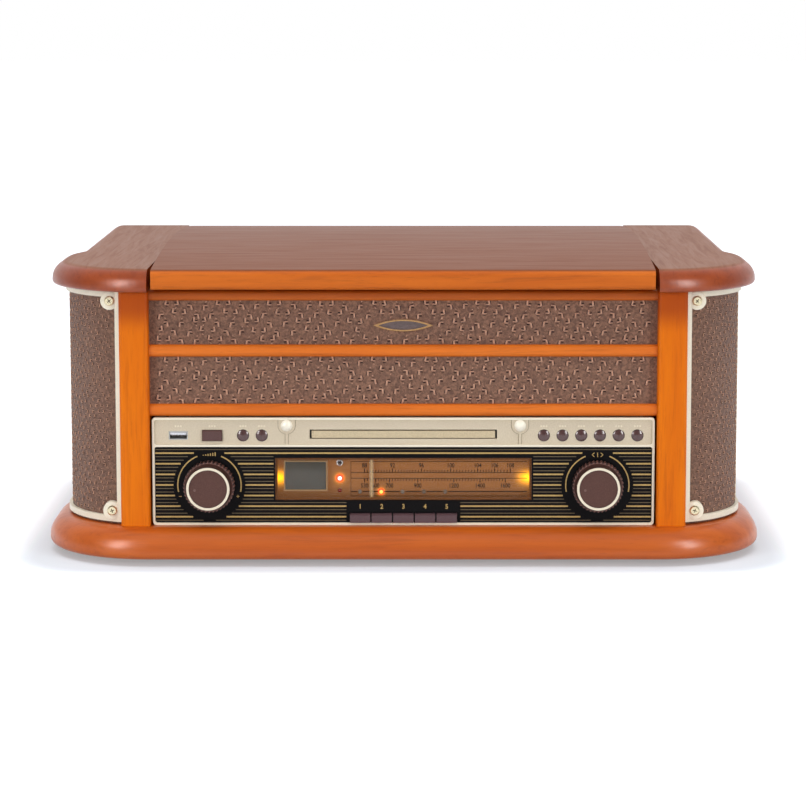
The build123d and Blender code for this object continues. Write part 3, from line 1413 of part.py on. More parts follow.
def speed_selector():
    """Three-position slide with its stem through the deck."""
    low = DECK_TOP + SLIDE_GAP
    long = SELECTOR_LENGTH / 2
    wide = SELECTOR_WIDTH / 2
    top = low + SELECTOR_HEIGHT
    cap = block(SELECTOR_X - long, SELECTOR_X + long, SELECTOR_Y - wide, SELECTOR_Y + wide, low, top)
    cap = chamfer(cap.edges().group_by(Axis.Z)[-1], SELECTOR_BEVEL)
    half = SELECTOR_STEM / 2
    foot = DECK_BOTTOM - SELECTOR_STEM_DROP
    stem = block(SELECTOR_X - half, SELECTOR_X + half, SELECTOR_Y - half, SELECTOR_Y + half, foot, low)
    return cap + stem


# ---- lid ----
def crown_section(front, back, bottom, drop):
    """Side view of the lid, or of its hollow where drop lowers the crown."""
    edge = LID_EDGE - drop
    radius = (((BACK_FACE - TOP_FRONT) / 2) ** 2 + LID_CROWN**2) / (2 * LID_CROWN)
    middle = (BACK_FACE + TOP_FRONT) / 2

    def level(y):
        fall = radius - (radius**2 - (y - middle) ** 2) ** 0.5
        return edge + LID_CROWN - fall

    sill = Line((front, bottom), (back, bottom))
    rear = Line(sill @ 1, (back, level(back)))
    crown = ThreePointArc(rear @ 1, (middle, edge + LID_CROWN), (front, level(front)))
    nose = Line(crown @ 1, sill @ 0)
    return make_face([sill, rear, crown, nose])


def lid():
    """Crowned lid with side walls, hollow underneath."""
    half = LID_WIDTH / 2
    outer = crown_section(TOP_FRONT, BACK_FACE, LID_BOTTOM, 0)
    body = extrude(Plane.YZ.offset(-half) * outer, amount=LID_WIDTH)
    front_edges = body.edges().filter_by(Axis.X).group_by(Axis.Y)[0].sort_by(Axis.Z)
    body = fillet(front_edges[-1], LID_NOSE_TOP)
    front_edges = body.edges().filter_by(Axis.X).group_by(Axis.Z)[0].sort_by(Axis.Y)
    body = fillet(front_edges[0], LID_NOSE_BOTTOM)
    inner = half - LID_WALL
    hollow = crown_section(
        TOP_FRONT + LID_FRONT_WALL, BACK_FACE - LID_WALL, LID_BOTTOM - 1, LID_PANEL
    )
    return body - extrude(Plane.YZ.offset(-inner) * hollow, amount=2 * inner)


def hinge_segments(x):
    """The three knuckle spans of one hinge: outer, middle, outer."""
    third = HINGE_WIDTH / 3
    start = x - HINGE_WIDTH / 2
    return [
        (start + i * third + SLIDE_GAP / 2, start + (i + 1) * third - SLIDE_GAP / 2) for i in range(3)
    ]


def knuckle(span, leaf_z):
    """One hinge knuckle and the tongue that joins it to its leaf."""
    barrel = rod_x(HINGE_Y, HINGE_Z, HINGE_RADIUS, span[0], span[1])
    low, high = sorted((HINGE_Z, leaf_z))
    return barrel + block(span[0], span[1], BACK_FACE, BACK_FACE + HINGE_LEAF, low, high)


def lid_hinge_leaves():
    """Upper leaves with their middle knuckles, screwed to the back of the lid."""
    pieces = []
    for x in (-HINGE_X, HINGE_X):
        leaf_z = HINGE_Z + HINGE_RADIUS + SLIDE_GAP
        middle = hinge_segments(x)[1]
        leaf = block(
            x - HINGE_WIDTH / 2,
            x + HINGE_WIDTH / 2,
            BACK_FACE,
            BACK_FACE + HINGE_LEAF,
            leaf_z,
            leaf_z + HINGE_LEAF_HEIGHT - HINGE_RADIUS,
        )
        bore = rod_x(HINGE_Y, HINGE_Z, HINGE_PIN_RADIUS + SHAFT_GAP, middle[0] - 1, middle[1] + 1)
        pieces.append(leaf + knuckle(middle, leaf_z) - bore)
    return group(pieces)


def cabinet_hinge_leaves():
    """Lower leaves with the outer knuckles and the pin fixed in them."""
    pieces = []
    for x in (-HINGE_X, HINGE_X):
        leaf_z = HINGE_Z - HINGE_RADIUS - SLIDE_GAP
        spans = hinge_segments(x)
        leaf = block(
            x - HINGE_WIDTH / 2,
            x + HINGE_WIDTH / 2,
            BACK_FACE,
            BACK_FACE + HINGE_LEAF,
            leaf_z - HINGE_LEAF_HEIGHT,
            leaf_z,
        )
        leaf += knuckle(spans[0], leaf_z)
        leaf += knuckle(spans[2], leaf_z)
        leaf += rod_x(HINGE_Y, HINGE_Z, HINGE_PIN_RADIUS, spans[0][0], spans[2][1])
        pieces.append(leaf)
    return group(pieces)


def lid_stay():
    """Quadrant stay, concentric with the hinge, that slides through the deck."""
    x1 = LID_WIDTH / 2 - LID_WALL
    axis = Pos(HINGE_Y, HINGE_Z)
    half = STAY_BAND / 2
    ring = axis * Circle(STAY_RADIUS + half) - axis * Circle(STAY_RADIUS - half)
    reach = 2 * STAY_RADIUS
    end_y = HINGE_Y - reach * cos(radians(STAY_SWEEP))
    end_z = HINGE_Z - reach * sin(radians(STAY_SWEEP))
    corner = (HINGE_Y - reach, HINGE_Z - reach)
    wedge = make_face(
        Polyline(
            [(HINGE_Y, HINGE_Z), (HINGE_Y - reach, HINGE_Z), corner, (end_y, end_z)], close=True
        )
    )
    arc = extrude(Plane.YZ.offset(x1 - STAY_THICK) * (ring & wedge), amount=STAY_THICK)
    tab_y = HINGE_Y - STAY_RADIUS
    tab = block(x1 - STAY_THICK, x1, tab_y - half, tab_y + 16, HINGE_Z, LID_BOTTOM + 5)
    return arc + tab


# ---- cassette section ----
def cassette_mechanism():
    """Cassette deck housing behind the slot in the right side wall."""
    outer = SIDE_INNER - SLIDE_GAP
    case = block(CASE_INNER, outer, CASE_FRONT, CASE_BACK, CASE_BOTTOM, CASE_TOP)
    margin = 2 * SLOT_CLEAR
    gap = 2 * SLIDE_GAP
    case -= side_opening(
        CASSETTE_LENGTH + margin, CASSETTE_HEIGHT + margin, CASSETTE_Z, CASE_INNER + 4, outer + 1
    )
    pocket = outer - EJECT_BODY - EJECT_TRAVEL - 1
    case -= side_opening(EJECT_WIDTH + gap, EJECT_HEIGHT + gap, EJECT_Z, pocket, outer + 1)
    return case


def flap_axis():
    """Where the flap's pins turn, in the thickness of the side wall."""
    return SIDE_INNER + 2.2, SLOT_TOP - 1.6


def cassette_flap():
    """Sprung flap of the cassette slot, hung on pins at its upper edge."""
    x, z = flap_axis()
    half = CASSETTE_LENGTH / 2 - SLIDE_GAP
    leaf = block(
        x, x + FLAP_THICK, CASSETTE_Y - half, CASSETTE_Y + half, SLOT_BOTTOM + SLIDE_GAP, z
    )
    barrel = rod_z(0, 0, FLAP_PIN, -half, half)
    barrel = Pos(x, CASSETTE_Y, z) * Rot(90, 0, 0) * barrel
    return leaf + barrel


def cassette_key():
    """Eject key below the slot, sliding in its pocket."""
    inner = SIDE_INNER - EJECT_BODY
    key = side_opening(EJECT_WIDTH, EJECT_HEIGHT, EJECT_Z, inner, SIDE_OUTER + EJECT_PROUD)
    return chamfer(key.edges().group_by(Axis.X)[-1], EJECT_BEVEL)


# ---- power and back ----
def transformer():
    """Mains transformer: laminated core with the coil standing out on both sides."""
    x = -FRONT_WIDTH / 4 - TRANSFORMER_WIDTH / 2
    y = BACK_INNER - TRANSFORMER_DEPTH - TRANSFORMER_FROM_BACK
    core_end = y + TRANSFORMER_DEPTH / 2
    core = block(x, x + TRANSFORMER_WIDTH, y, core_end, BASE_TOP, BASE_TOP + TRANSFORMER_HEIGHT)
    coil = block(
        x + COIL_INSET,
        x + TRANSFORMER_WIDTH - COIL_INSET,
        y - COIL_OUTSTAND,
        core_end + COIL_OUTSTAND,
        BASE_TOP + COIL_RISE,
        BASE_TOP + TRANSFORMER_HEIGHT - COIL_RISE,
    )
    return core + chamfer(coil.edges().filter_by(Axis.Z), COIL_ROUND)


def rear_sockets():
    """Pair of line sockets on a plate, and the gland of the mains lead."""
    z = BASE_TOP + SOCKET_RISE
    plate_x = FRONT_WIDTH / 4
    face = BACK_FACE + SOCKET_PLATE
    half = SOCKET_PLATE_WIDTH / 2
    rise = SOCKET_PLATE_HEIGHT / 2
    plate = block(plate_x - half, plate_x + half, BACK_FACE, face, z - rise, z + rise)
    for i in range(SOCKETS):
        x = plate_x + (i - (SOCKETS - 1) / 2) * SOCKET_PITCH
        plate += rod_y(x, z, SOCKET_RADIUS, face, BACK)
        plate -= rod_y(x, z, SOCKET_BORE, BACK_FACE + 1, BACK + 1)
    gland_x = GLAND_INSET - FRONT_WIDTH / 2
    length = BACK - BACK_FACE
    gland = turned(
        [
            (GLAND_BORE, 0),
            (GLAND_FLANGE_RADIUS, 0),
            (GLAND_FLANGE_RADIUS, SOCKET_PLATE),
            (GLAND_RADIUS, SOCKET_PLATE),
            (GLAND_RADIUS, length),
            (GLAND_BORE, length),
        ]
    )
    return group([plate, Pos(gland_x, BACK_FACE, z) * Rot(-90, 0, 0) * gland])


def main():
    os.makedirs("parts", exist_ok=True)
    pieces = {
        "base_board": base_board,
        "feet": feet,
        "top_wings": top_wings,
        "posts": posts,
        "side_panels": side_panels,
        "back_panel": back_panel,
        "front_rails": front_rails,
        "front_cloth_panels": front_cloth_panels,
        "badge": badge,
        "grille_frames": lambda: both_sides(grille_frame()),
        "grille_cloths": lambda: both_sides(grille_cloth()),
        "grille_screws": grille_screws,
        "speaker_boxes": speaker_boxes,
        "speakers": speakers,
        "fascia": fascia,
        "fascia_studs": fascia_studs,
        "dial_panel": dial_panel,
        "dial_window": dial_window,
        "dial_plate": dial_plate,
        "display": display,
        "indicator_lights": indicator_lights,
        "pointer": pointer,
        "dial_cord": dial_cord,
        "volume_knob": volume_knob,
        "tuning_knob": tuning_knob,
        "power_button": power_button,
        "front_board": front_board,
        "cd_drawer": cd_drawer,
        "cd_mechanism": cd_mechanism,
        "deck_plate": deck_plate,
        "platter": platter,
        "platter_mat": platter_mat,
        "drive_belt": drive_belt,
        "motor_pulley": motor_pulley,
        "turntable_motor": turntable_motor,
        "tonearm_gimbal": tonearm_gimbal,
        "tonearm": tonearm,
        "speed_selector": speed_selector,
        "lid": lid,
        "lid_hinge_leaves": lid_hinge_leaves,
        "cabinet_hinge_leaves": cabinet_hinge_leaves,
        "lid_stay": lid_stay,
        "cassette_mechanism": cassette_mechanism,
        "cassette_flap": cassette_flap,
        "cassette_key": cassette_key,
        "transformer": transformer,
        "rear_sockets": rear_sockets,
    }
    for name, make in pieces.items():
        write(name, make())
    for i, x in enumerate(key_places()):
        write(f"function_key_{i + 1}", function_key(x))
    left, right = button_places()
    for i, x in enumerate(left):
        write(f"left_button_{i + 1}", round_button(x))
    for i, x in enumerate(right):
        write(f"right_button_{i + 1}", round_button(x))


main()
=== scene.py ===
import math
import random

import bmesh
import bpy
from mathutils import Matrix, Vector


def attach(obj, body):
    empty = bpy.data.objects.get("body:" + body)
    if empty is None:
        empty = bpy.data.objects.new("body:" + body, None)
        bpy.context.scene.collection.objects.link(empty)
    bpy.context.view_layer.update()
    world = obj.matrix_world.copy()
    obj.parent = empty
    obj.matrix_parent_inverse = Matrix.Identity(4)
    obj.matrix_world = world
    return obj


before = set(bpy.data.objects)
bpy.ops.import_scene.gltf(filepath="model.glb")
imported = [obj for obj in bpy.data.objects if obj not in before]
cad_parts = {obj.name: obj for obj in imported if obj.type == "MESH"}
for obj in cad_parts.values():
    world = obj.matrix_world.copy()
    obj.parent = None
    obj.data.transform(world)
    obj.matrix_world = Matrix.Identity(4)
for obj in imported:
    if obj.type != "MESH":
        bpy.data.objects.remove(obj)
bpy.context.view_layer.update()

# Levels of the cabinet, in millimetres, in the frame that the solids stand in.
MM = 0.001
CLOTH_FACE = -156.5
CLOTH_HALF = 180.5
CLOTH_BANDS = ((114.6, 148.3), (157.4, 188.6))
GRILLE_X = 178.0
GRILLE_Y = -93.0
GRILLE_CLOTH_R = 67.2
GRILLE_LOW = 33.0
GRILLE_HIGH = 190.0
SCREW_X = 209.5
SCREW_LEVELS = (36.8, 188.6)
SCREW_TOP = -158.9
PANEL_FACE = -158.4
PANEL_BOTTOM = 28.4
PANEL_TOP = 83.3
PANEL_HALF = 178.1
KNOB_X = 139.3
KNOB_Z = 55.3
KNOB_FACE = -173.2
KNOB_TEETH = 40
DISC_R = 25.9
WINDOW_HALF = 92.0
WINDOW_BOTTOM = 44.5
WINDOW_TOP = 75.1
KEY_PANEL_HALF = 41.0
KEY_PANEL_TOP = 44.2
KEY_PANEL_FACE = -158.9
KEY_PITCH = 15.55
DIAL_FACE = -150.0
DISPLAY = (-86.1, -54.7, 50.3, 72.6)
DISPLAY_FACE = -153.4
STATUS_X = -45.9
LIGHTS_FACE = -151.4
BAND_X = tuple(-31.5 + 15.4 * i for i in range(5))
BAND_Z = 49.2
SENSOR_Z = 70.6
POWER_Z = 59.1
STEREO_Z = 50.2
LIT_BAND = 1
POINTER_X = -23.0
POINTER_FACE = -153.9
STUD_X = 83.6
SOCKET_X = (83.75, 97.75)
SOCKET_Z = 56.5
HINGE_X = 105.0
LEAF_FACE = 176.2
STUD_Z = 98.8
SHIELD_HALF = 6.0
STEM_HALF = 1.0
FASCIA_TOP = 104.7
USB_X = -161.3
BUTTON_Z = 91.6
LEFT_BUTTONS = (-114.9, -101.5)
RIGHT_BUTTONS = tuple(100.7 + 13.4 * i for i in range(6))
FASCIA_FACE = -158.5
PLATTER_X = -22.0
PLATTER_Y = -8.0
MAT_TOP = 176.0

# Colours as they are seen, in display values from 0 to 255.
GOLD = (190, 158, 97)
DIM_GOLD = (100, 86, 63)
BLACK = (18, 16, 17)
BUTTON_BROWN = (84, 56, 54)
SCALE_INK = (12, 5, 2)


def colour(rgb):
    """A display colour as the shader's linear one."""
    linear = []
    for value in rgb:
        part = value / 255
        linear.append(part / 12.92 if part <= 0.04045 else ((part + 0.055) / 1.055) ** 2.4)
    return (*linear, 1.0)


class Finish:
    """A material while it is being mixed: one shader and the nodes that feed it."""

    def __init__(self, name, **sockets):
        self.material = bpy.data.materials.new(name)
        self.material.use_nodes = True
        self.nodes = self.material.node_tree.nodes
        self.links = self.material.node_tree.links
        self.shader = self.nodes["Principled BSDF"]
        for socket, value in sockets.items():
            self.shader.inputs[socket.replace("_", " ")].default_value = value
        self.place = self.nodes.new("ShaderNodeTexCoord").outputs["Object"]

    def feed(self, node, socket, value):
        """Gives a socket a value, or links it to another node's output."""
        target = node.inputs[socket]
        if isinstance(value, bpy.types.NodeSocket):
            self.links.new(value, target)
        else:
            target.default_value = value

    def stretch(self, scale, turn=(0, 0, 0), shift=(0, 0, 0)):
        """The place on the piece, scaled and turned."""
        node = self.nodes.new("ShaderNodeMapping")
        self.links.new(self.place, node.inputs["Vector"])
        node.inputs["Scale"].default_value = scale
        node.inputs["Rotation"].default_value = turn
        node.inputs["Location"].default_value = shift
        return node.outputs["Vector"]

    def axes(self):
        """The place on the piece as three numbers, in metres."""
        node = self.nodes.new("ShaderNodeSeparateXYZ")
        self.links.new(self.place, node.inputs[0])
        return node.outputs

    def noise(self, place, scale, detail=4.0, roughness=0.55, distortion=0.0):
        """Cloudy variation from 0 to 1."""
        node = self.nodes.new("ShaderNodeTexNoise")
        self.links.new(place, node.inputs["Vector"])
        node.inputs["Scale"].default_value = scale
        node.inputs["Detail"].default_value = detail
        node.inputs["Roughness"].default_value = roughness
        node.inputs["Distortion"].default_value = distortion
        return node.outputs["Fac"]

    def threads(self, place, scale, along="X", distortion=0.0):
        """Parallel ridges from 0 to 1."""
        node = self.nodes.new("ShaderNodeTexWave")
        node.bands_direction = along
        self.links.new(place, node.inputs["Vector"])
        node.inputs["Scale"].default_value = scale
        node.inputs["Distortion"].default_value = distortion
        return node.outputs["Fac"]

    def sum(self, operation, a, b=0.0, c=0.0, clamp=False):
        """One step of arithmetic."""
        node = self.nodes.new("ShaderNodeMath")
        node.operation = operation
        node.use_clamp = clamp
        for index, value in enumerate((a, b, c)):
            self.feed(node, index, value)
        return node.outputs[0]

    def between(self, value, low, high, to_low=0.0, to_high=1.0, smooth=True):
        """A value spread over another range, and held at its ends."""
        node = self.nodes.new("ShaderNodeMapRange")
        node.interpolation_type = "SMOOTHSTEP" if smooth else "LINEAR"
        for index, item in enumerate((value, low, high, to_low, to_high)):
            self.feed(node, index, item)
        return node.outputs[0]

    def blend(self, factor, first, second):
        """One colour running into another. A colour is three display values or a link."""
        node = self.nodes.new("ShaderNodeMix")
        node.data_type = "RGBA"
        self.feed(node, 0, factor)
        for socket, value in ((6, first), (7, second)):
            self.feed(node, socket, colour(value) if isinstance(value, tuple) else value)
        return node.outputs[2]

    def paint(self, value, socket="Base Color"):
        """Gives the shader its colour, or another socket its value."""
        if isinstance(value, tuple):
            self.shader.inputs[socket].default_value = colour(value)
        else:
            self.links.new(value, self.shader.inputs[socket])
        return self

    def emboss(self, height, depth_mm, strength=1.0):
        """Raises the surface by a height from 0 to 1."""
        node = self.nodes.new("ShaderNodeBump")
        node.inputs["Strength"].default_value = strength
        node.inputs["Distance"].default_value = depth_mm * MM
        self.links.new(height, node.inputs["Height"])
        self.links.new(node.outputs[0], self.shader.inputs["Normal"])
        return self


# ---- finishes ----
def veneer(name, grain, pale, body, deep, coat=0.3, painted_shade_above=None, top=None):
    """Stained veneer under gloss lacquer. grain is the scale across each axis, small along the grain.

    painted_shade_above is a level above which the tone is painted darker, as painted shade under an overhang. top is a
    level, and the tone and coat of the face above it: that tone is darker than the rest, as painted shade on the top
    face."""
    wood = Finish(name, Roughness=0.5)
    wood.shader.inputs["Specular IOR Level"].default_value = 0.1
    wood.shader.inputs["Coat Weight"].default_value = coat
    wood.shader.inputs["Coat Roughness"].default_value = 0.3
    run = wood.stretch(grain)
    cloud = wood.noise(run, 1.6, 3.0, 0.6, 0.4)
    figure = wood.noise(run, 7.0, 6.0, 0.62, 0.8)
    pores = wood.noise(run, 34.0, 3.0, 0.7)
    z = wood.axes()[2]
    tone = wood.blend(wood.between(cloud, 0.3, 0.7), body, pale)
    # Above this level the tone runs into the deep one: painted shade under an overhang.
    if painted_shade_above:
        tone = wood.blend(wood.between(z, painted_shade_above * MM, (painted_shade_above + 20) * MM, 0.0, 0.75), tone, deep)
    # The face above the top level gets its own darker tone, as painted shade on the top face, and its own coat weight.
    if top:
        upper = wood.between(z, (top[0] - 1.5) * MM, top[0] * MM)
        tone = wood.blend(upper, tone, top[1])
        wood.paint(wood.between(upper, 0.0, 1.0, coat, top[2]), "Coat Weight")
    tone = wood.blend(wood.between(figure, 0.46, 0.78, 0.0, 0.42), tone, deep)
    tone = wood.blend(wood.between(pores, 0.56, 0.78, 0.0, 0.35), tone, deep)
    wood.paint(tone)
    wood.paint(wood.between(figure, 0.3, 0.7, 0.42, 0.55), "Roughness")
    return wood.emboss(wood.sum("ADD", pores, wood.sum("MULTIPLY", figure, 0.5)), 0.05, 0.3).material


def cloth(name):
    """Woven speaker cloth, brown with paler threads."""
    weave = Finish(name, Roughness=0.9)
    weave.shader.inputs["Sheen Weight"].default_value = 0.25
    weave.shader.inputs["Sheen Roughness"].default_value = 0.5
    x, y, z = weave.axes()
    side = weave.sum("ABSOLUTE", x)
    turn = weave.sum("ARCTAN2", weave.sum("SUBTRACT", y, GRILLE_Y * MM), weave.sum("SUBTRACT", side, GRILLE_X * MM))
    arc = weave.sum("MULTIPLY", turn, GRILLE_CLOTH_R * MM)
    across = weave.sum("ADD", weave.sum("MULTIPLY", arc, weave.sum("GREATER_THAN", side, 0.2)),
                       weave.sum("MULTIPLY", x, weave.sum("LESS_THAN", side, 0.2)))
    pair = weave.nodes.new("ShaderNodeCombineXYZ")
    weave.links.new(across, pair.inputs[0])
    weave.links.new(z, pair.inputs[1])
    flat = pair.outputs[0]
    warp = weave.threads(flat, 330.0, "X", 1.2)
    weft = weave.threads(flat, 330.0, "Y", 1.2)
    fuzz = weave.noise(flat, 900.0, 3.0, 0.7)
    cloud = weave.noise(flat, 420.0, 4.0, 0.7, 0.8)
    thread = weave.sum("MULTIPLY", warp, weft)
    tone = weave.blend(weave.between(cloud, 0.36, 0.66), (88, 55, 42), (148, 106, 82))
    tone = weave.blend(weave.sum("MULTIPLY", thread, 0.55), tone, (154, 114, 90))
    tone = weave.blend(weave.between(fuzz, 0.58, 0.8, 0.0, 0.6), tone, (66, 46, 44))
    weave.paint(tone)
    return weave.emboss(weave.sum("ADD", thread, fuzz), 0.35, 0.8).material


def cloth_figure():
    """The raised figure of the cloth: pale pinkish thread."""
    curl = Finish("cloth_figure", Roughness=0.8)
    curl.shader.inputs["Sheen Weight"].default_value = 0.2
    grain = curl.noise(curl.place, 1500.0, 3.0, 0.7)
    curl.paint(curl.blend(curl.between(grain, 0.35, 0.7), (184, 134, 108), (214, 166, 136)))
    return curl.emboss(grain, 0.1, 0.5).material


def moulded(name, rgb, roughness=0.5, speck=0.06, coat=0.0, depth=0.04, scale=1600.0, gloss=0.25):
    """Moulded plastic with a fine spark-eroded texture."""
    plastic = Finish(name, Roughness=roughness)
    plastic.shader.inputs["Specular IOR Level"].default_value = gloss
    plastic.shader.inputs["Coat Weight"].default_value = coat
    plastic.shader.inputs["Coat Roughness"].default_value = 0.1
    grain = plastic.noise(plastic.place, scale, 3.0, 0.6)
    cloud = plastic.noise(plastic.place, 22.0, 3.0, 0.6)
    dark = tuple(value * (1 - 2 * speck) for value in rgb)
    pale = tuple(min(255, value * (1 + speck)) for value in rgb)
    tone = plastic.blend(plastic.between(grain, 0.3, 0.7), dark, pale)
    tone = plastic.blend(plastic.between(cloud, 0.3, 0.7, 0.0, 0.25), tone, rgb)
    plastic.paint(tone)
    plastic.paint(plastic.between(cloud, 0.3, 0.7, roughness * 0.9, min(1.0, roughness * 1.1)), "Roughness")
    return plastic.emboss(grain, depth, 0.4).material


def metal(name, rgb, roughness=0.3, stretch=(1, 1, 1)):
    """Plated or brushed metal."""
    plate = Finish(name, Metallic=1.0, Roughness=roughness)
    brush = plate.noise(plate.stretch(stretch), 900.0, 4.0, 0.65)
    plate.paint(plate.blend(plate.between(brush, 0.3, 0.7), tuple(v * 0.86 for v in rgb), rgb))
    plate.paint(plate.between(brush, 0.3, 0.7, roughness * 0.8, roughness * 1.3), "Roughness")
    return plate.emboss(brush, 0.02, 0.3).material


def fascia_finish():
    """Champagne fascia: fine texture on the field, smooth bright cream on the raised rim, and painted amber shade on
    the walls inside the window.
    """
    face = Finish("fascia_champagne", Roughness=0.5)
    face.shader.inputs["Specular IOR Level"].default_value = 0.3
    x, y, z = face.axes()
    grain = face.noise(face.place, 1400.0, 4.0, 0.65)
    cloud = face.noise(face.place, 16.0, 2.0, 0.5)
    field = face.blend(face.between(grain, 0.3, 0.72), (200, 184, 158), (218, 204, 180))
    field = face.blend(face.between(cloud, 0.3, 0.7, 0.0, 0.3), field, (214, 200, 176))
    rim = face.sum("LESS_THAN", y, -159.4 * MM)
    tone = face.blend(rim, field, (240, 230, 208))
    # The walls inside the window recess are painted dark amber: painted shade there, with the amber of the dial's
    # light.
    inside = face.sum("MULTIPLY", face.sum("GREATER_THAN", y, -158.3 * MM), face.sum("LESS_THAN", z, 84 * MM))
    inside = face.sum("MULTIPLY", inside, face.sum("LESS_THAN", face.sum("ABSOLUTE", x), 96 * MM))
    face.paint(face.blend(inside, tone, (122, 74, 34)))
    return face.emboss(grain, 0.05, 0.5).material


def knob_finish(side):
    """Brown knob with the cream ring round its cap, painted shade in the neck beside the ring and between the teeth,
    and a painted highlight on the tooth crowns.
    """
    knob = Finish("knob_brown_" + side[0], Roughness=0.42)
    knob.shader.inputs["Specular IOR Level"].default_value = 0.25
    knob.shader.inputs["Coat Weight"].default_value = 0.12
    knob.shader.inputs["Coat Roughness"].default_value = 0.2
    x, y, z = knob.axes()
    centre = (side[1] * KNOB_X, KNOB_Z)
    dx = knob.sum("SUBTRACT", x, centre[0] * MM)
    dz = knob.sum("SUBTRACT", z, centre[1] * MM)
    reach = knob.sum("SQRT", knob.sum("ADD", knob.sum("MULTIPLY", dx, dx), knob.sum("MULTIPLY", dz, dz)))
    ring = knob.sum("MULTIPLY", knob.sum("GREATER_THAN", reach, 13.7 * MM), knob.sum("LESS_THAN", reach, 15.42 * MM))
    ring = knob.sum("MULTIPLY", ring, knob.sum("LESS_THAN", y, -172.9 * MM))
    grain = knob.noise(knob.place, 1500.0, 3.0, 0.6)
    brown = knob.blend(knob.between(grain, 0.3, 0.7), (76, 45, 37), (90, 56, 47))
    # Painted shade in the hollow neck just outside the ring, a painted highlight on the crowns of the teeth, and
    # painted shade in the gaps between them.
    painted_neck_shade = knob.between(knob.sum("ABSOLUTE", knob.sum("SUBTRACT", reach, 16.1 * MM)), 0.3 * MM, 1.1 * MM, 0.6, 0.0)
    brown = knob.blend(painted_neck_shade, brown, (34, 18, 18))
    teeth = knob.sum("SINE", knob.sum("MULTIPLY", knob.sum("ARCTAN2", dz, dx), KNOB_TEETH))
    painted_crown_highlight = knob.between(reach, 16.9 * MM, 17.5 * MM)
    brown = knob.blend(painted_crown_highlight, brown, (122, 84, 75))
    painted_tooth_gap_shade = knob.sum("MULTIPLY", knob.between(reach, 17.1 * MM, 17.7 * MM), knob.between(teeth, -0.1, 0.5, 0.85, 0.0))
    brown = knob.blend(painted_tooth_gap_shade, brown, (30, 17, 17))
    knob.paint(knob.blend(ring, brown, (236, 224, 200)))
    return knob.emboss(grain, 0.05, 0.4).material


def dial_finish():
    """Amber dial, lit from both ends, with red light round the lamps that are on."""
    dial = Finish("dial_amber", Roughness=0.5)
    x, y, z = dial.axes()
    grain = dial.noise(dial.stretch((1, 1, 8)), 60.0, 4.0, 0.6)
    base = dial.blend(dial.between(grain, 0.3, 0.7), (134, 80, 28), (148, 94, 38))
    # The dial's base colour runs darker towards its bottom.
    low = dial.between(z, 44 * MM, 55 * MM, 0.8, 0.0)
    base = dial.blend(low, base, (64, 38, 16))
    dial.paint(base)
    level = dial.sum("SUBTRACT", z, 59.5 * MM)
    band = dial.sum("EXPONENT", dial.sum("MULTIPLY", dial.sum("MULTIPLY", level, level), -1 / (5.2 * MM) ** 2))
    end = dial.between(dial.sum("ABSOLUTE", x), 77 * MM, 90 * MM, 0.0, 1.0)
    end = dial.sum("MULTIPLY", end, band)
    red = dial.sum("ADD", halo(dial, x, z, (STATUS_X, POWER_Z), 3.2, 1.6),
                   halo(dial, x, z, (BAND_X[LIT_BAND], BAND_Z), 2.6, 1.6))
    glow = dial.blend(dial.sum("MINIMUM", red, 1.0), (255, 168, 0), (255, 30, 4))
    lit = dial.sum("MINIMUM", dial.sum("ADD", end, red), 1.0)
    dial.links.new(dial.blend(lit, (140, 88, 36), glow), dial.shader.inputs["Emission Color"])
    power = dial.sum("ADD", dial.sum("MULTIPLY", end, 2.8), dial.sum("MULTIPLY", red, 1.5))
    dial.links.new(dial.sum("ADD", power, 0.33), dial.shader.inputs["Emission Strength"])
    return dial.emboss(grain, 0.02, 0.2).material


def halo(finish, x, z, centre, spread, power):
    """Light that falls off round a point on the front."""
    dx = finish.sum("SUBTRACT", x, centre[0] * MM)
    dz = finish.sum("SUBTRACT", z, centre[1] * MM)
    square = finish.sum("ADD", finish.sum("MULTIPLY", dx, dx), finish.sum("MULTIPLY", dz, dz))
    fall = finish.sum("EXPONENT", finish.sum("MULTIPLY", square, -1 / (spread * MM) ** 2))
    return finish.sum("MULTIPLY", fall, power)


def lamp(name, rgb, glow, strength):
    """A small coloured lamp, lit when strength is above 0."""
    light = Finish(name, Roughness=0.2)
    grain = light.noise(light.place, 400.0, 2.0, 0.5)
    light.paint(light.blend(light.between(grain, 0.3, 0.7), tuple(v * 0.85 for v in rgb), rgb))
    light.paint(glow, "Emission Color")
    light.shader.inputs["Emission Strength"].default_value = strength
    return light.material


def window_finish():
    """Clear amber window."""
    clear = Finish("amber_window", Roughness=0.06, Alpha=0.08)
    grain = clear.noise(clear.place, 60.0, 2.0, 0.5)
    clear.paint(clear.blend(grain, (120, 66, 20), (140, 80, 28)))
    clear.material.blend_method = "BLEND"
    return clear.material


def mat_finish():
    """Ribbed rubber mat: rings round the spindle."""
    rubber = Finish("mat_rubber", Roughness=0.75)
    x, y, z = rubber.axes()
    dx = rubber.sum("SUBTRACT", x, PLATTER_X * MM)
    dy = rubber.sum("SUBTRACT", y, PLATTER_Y * MM)
    reach = rubber.sum("SQRT", rubber.sum("ADD", rubber.sum("MULTIPLY", dx, dx), rubber.sum("MULTIPLY", dy, dy)))
    rings = rubber.sum("SINE", rubber.sum("MULTIPLY", reach, 2 * math.pi / (2.4 * MM)))
    broad = rubber.sum("GREATER_THAN", rubber.sum("SINE", rubber.sum("MULTIPLY", reach, 2 * math.pi / (24 * MM))), -0.6)
    rings = rubber.sum("MULTIPLY", rings, broad)
    dust = rubber.noise(rubber.place, 500.0, 4.0, 0.7)
    rubber.paint(rubber.blend(rubber.between(dust, 0.35, 0.75), (24, 23, 23), (44, 42, 41)))
    return rubber.emboss(rings, 0.4, 0.7).material


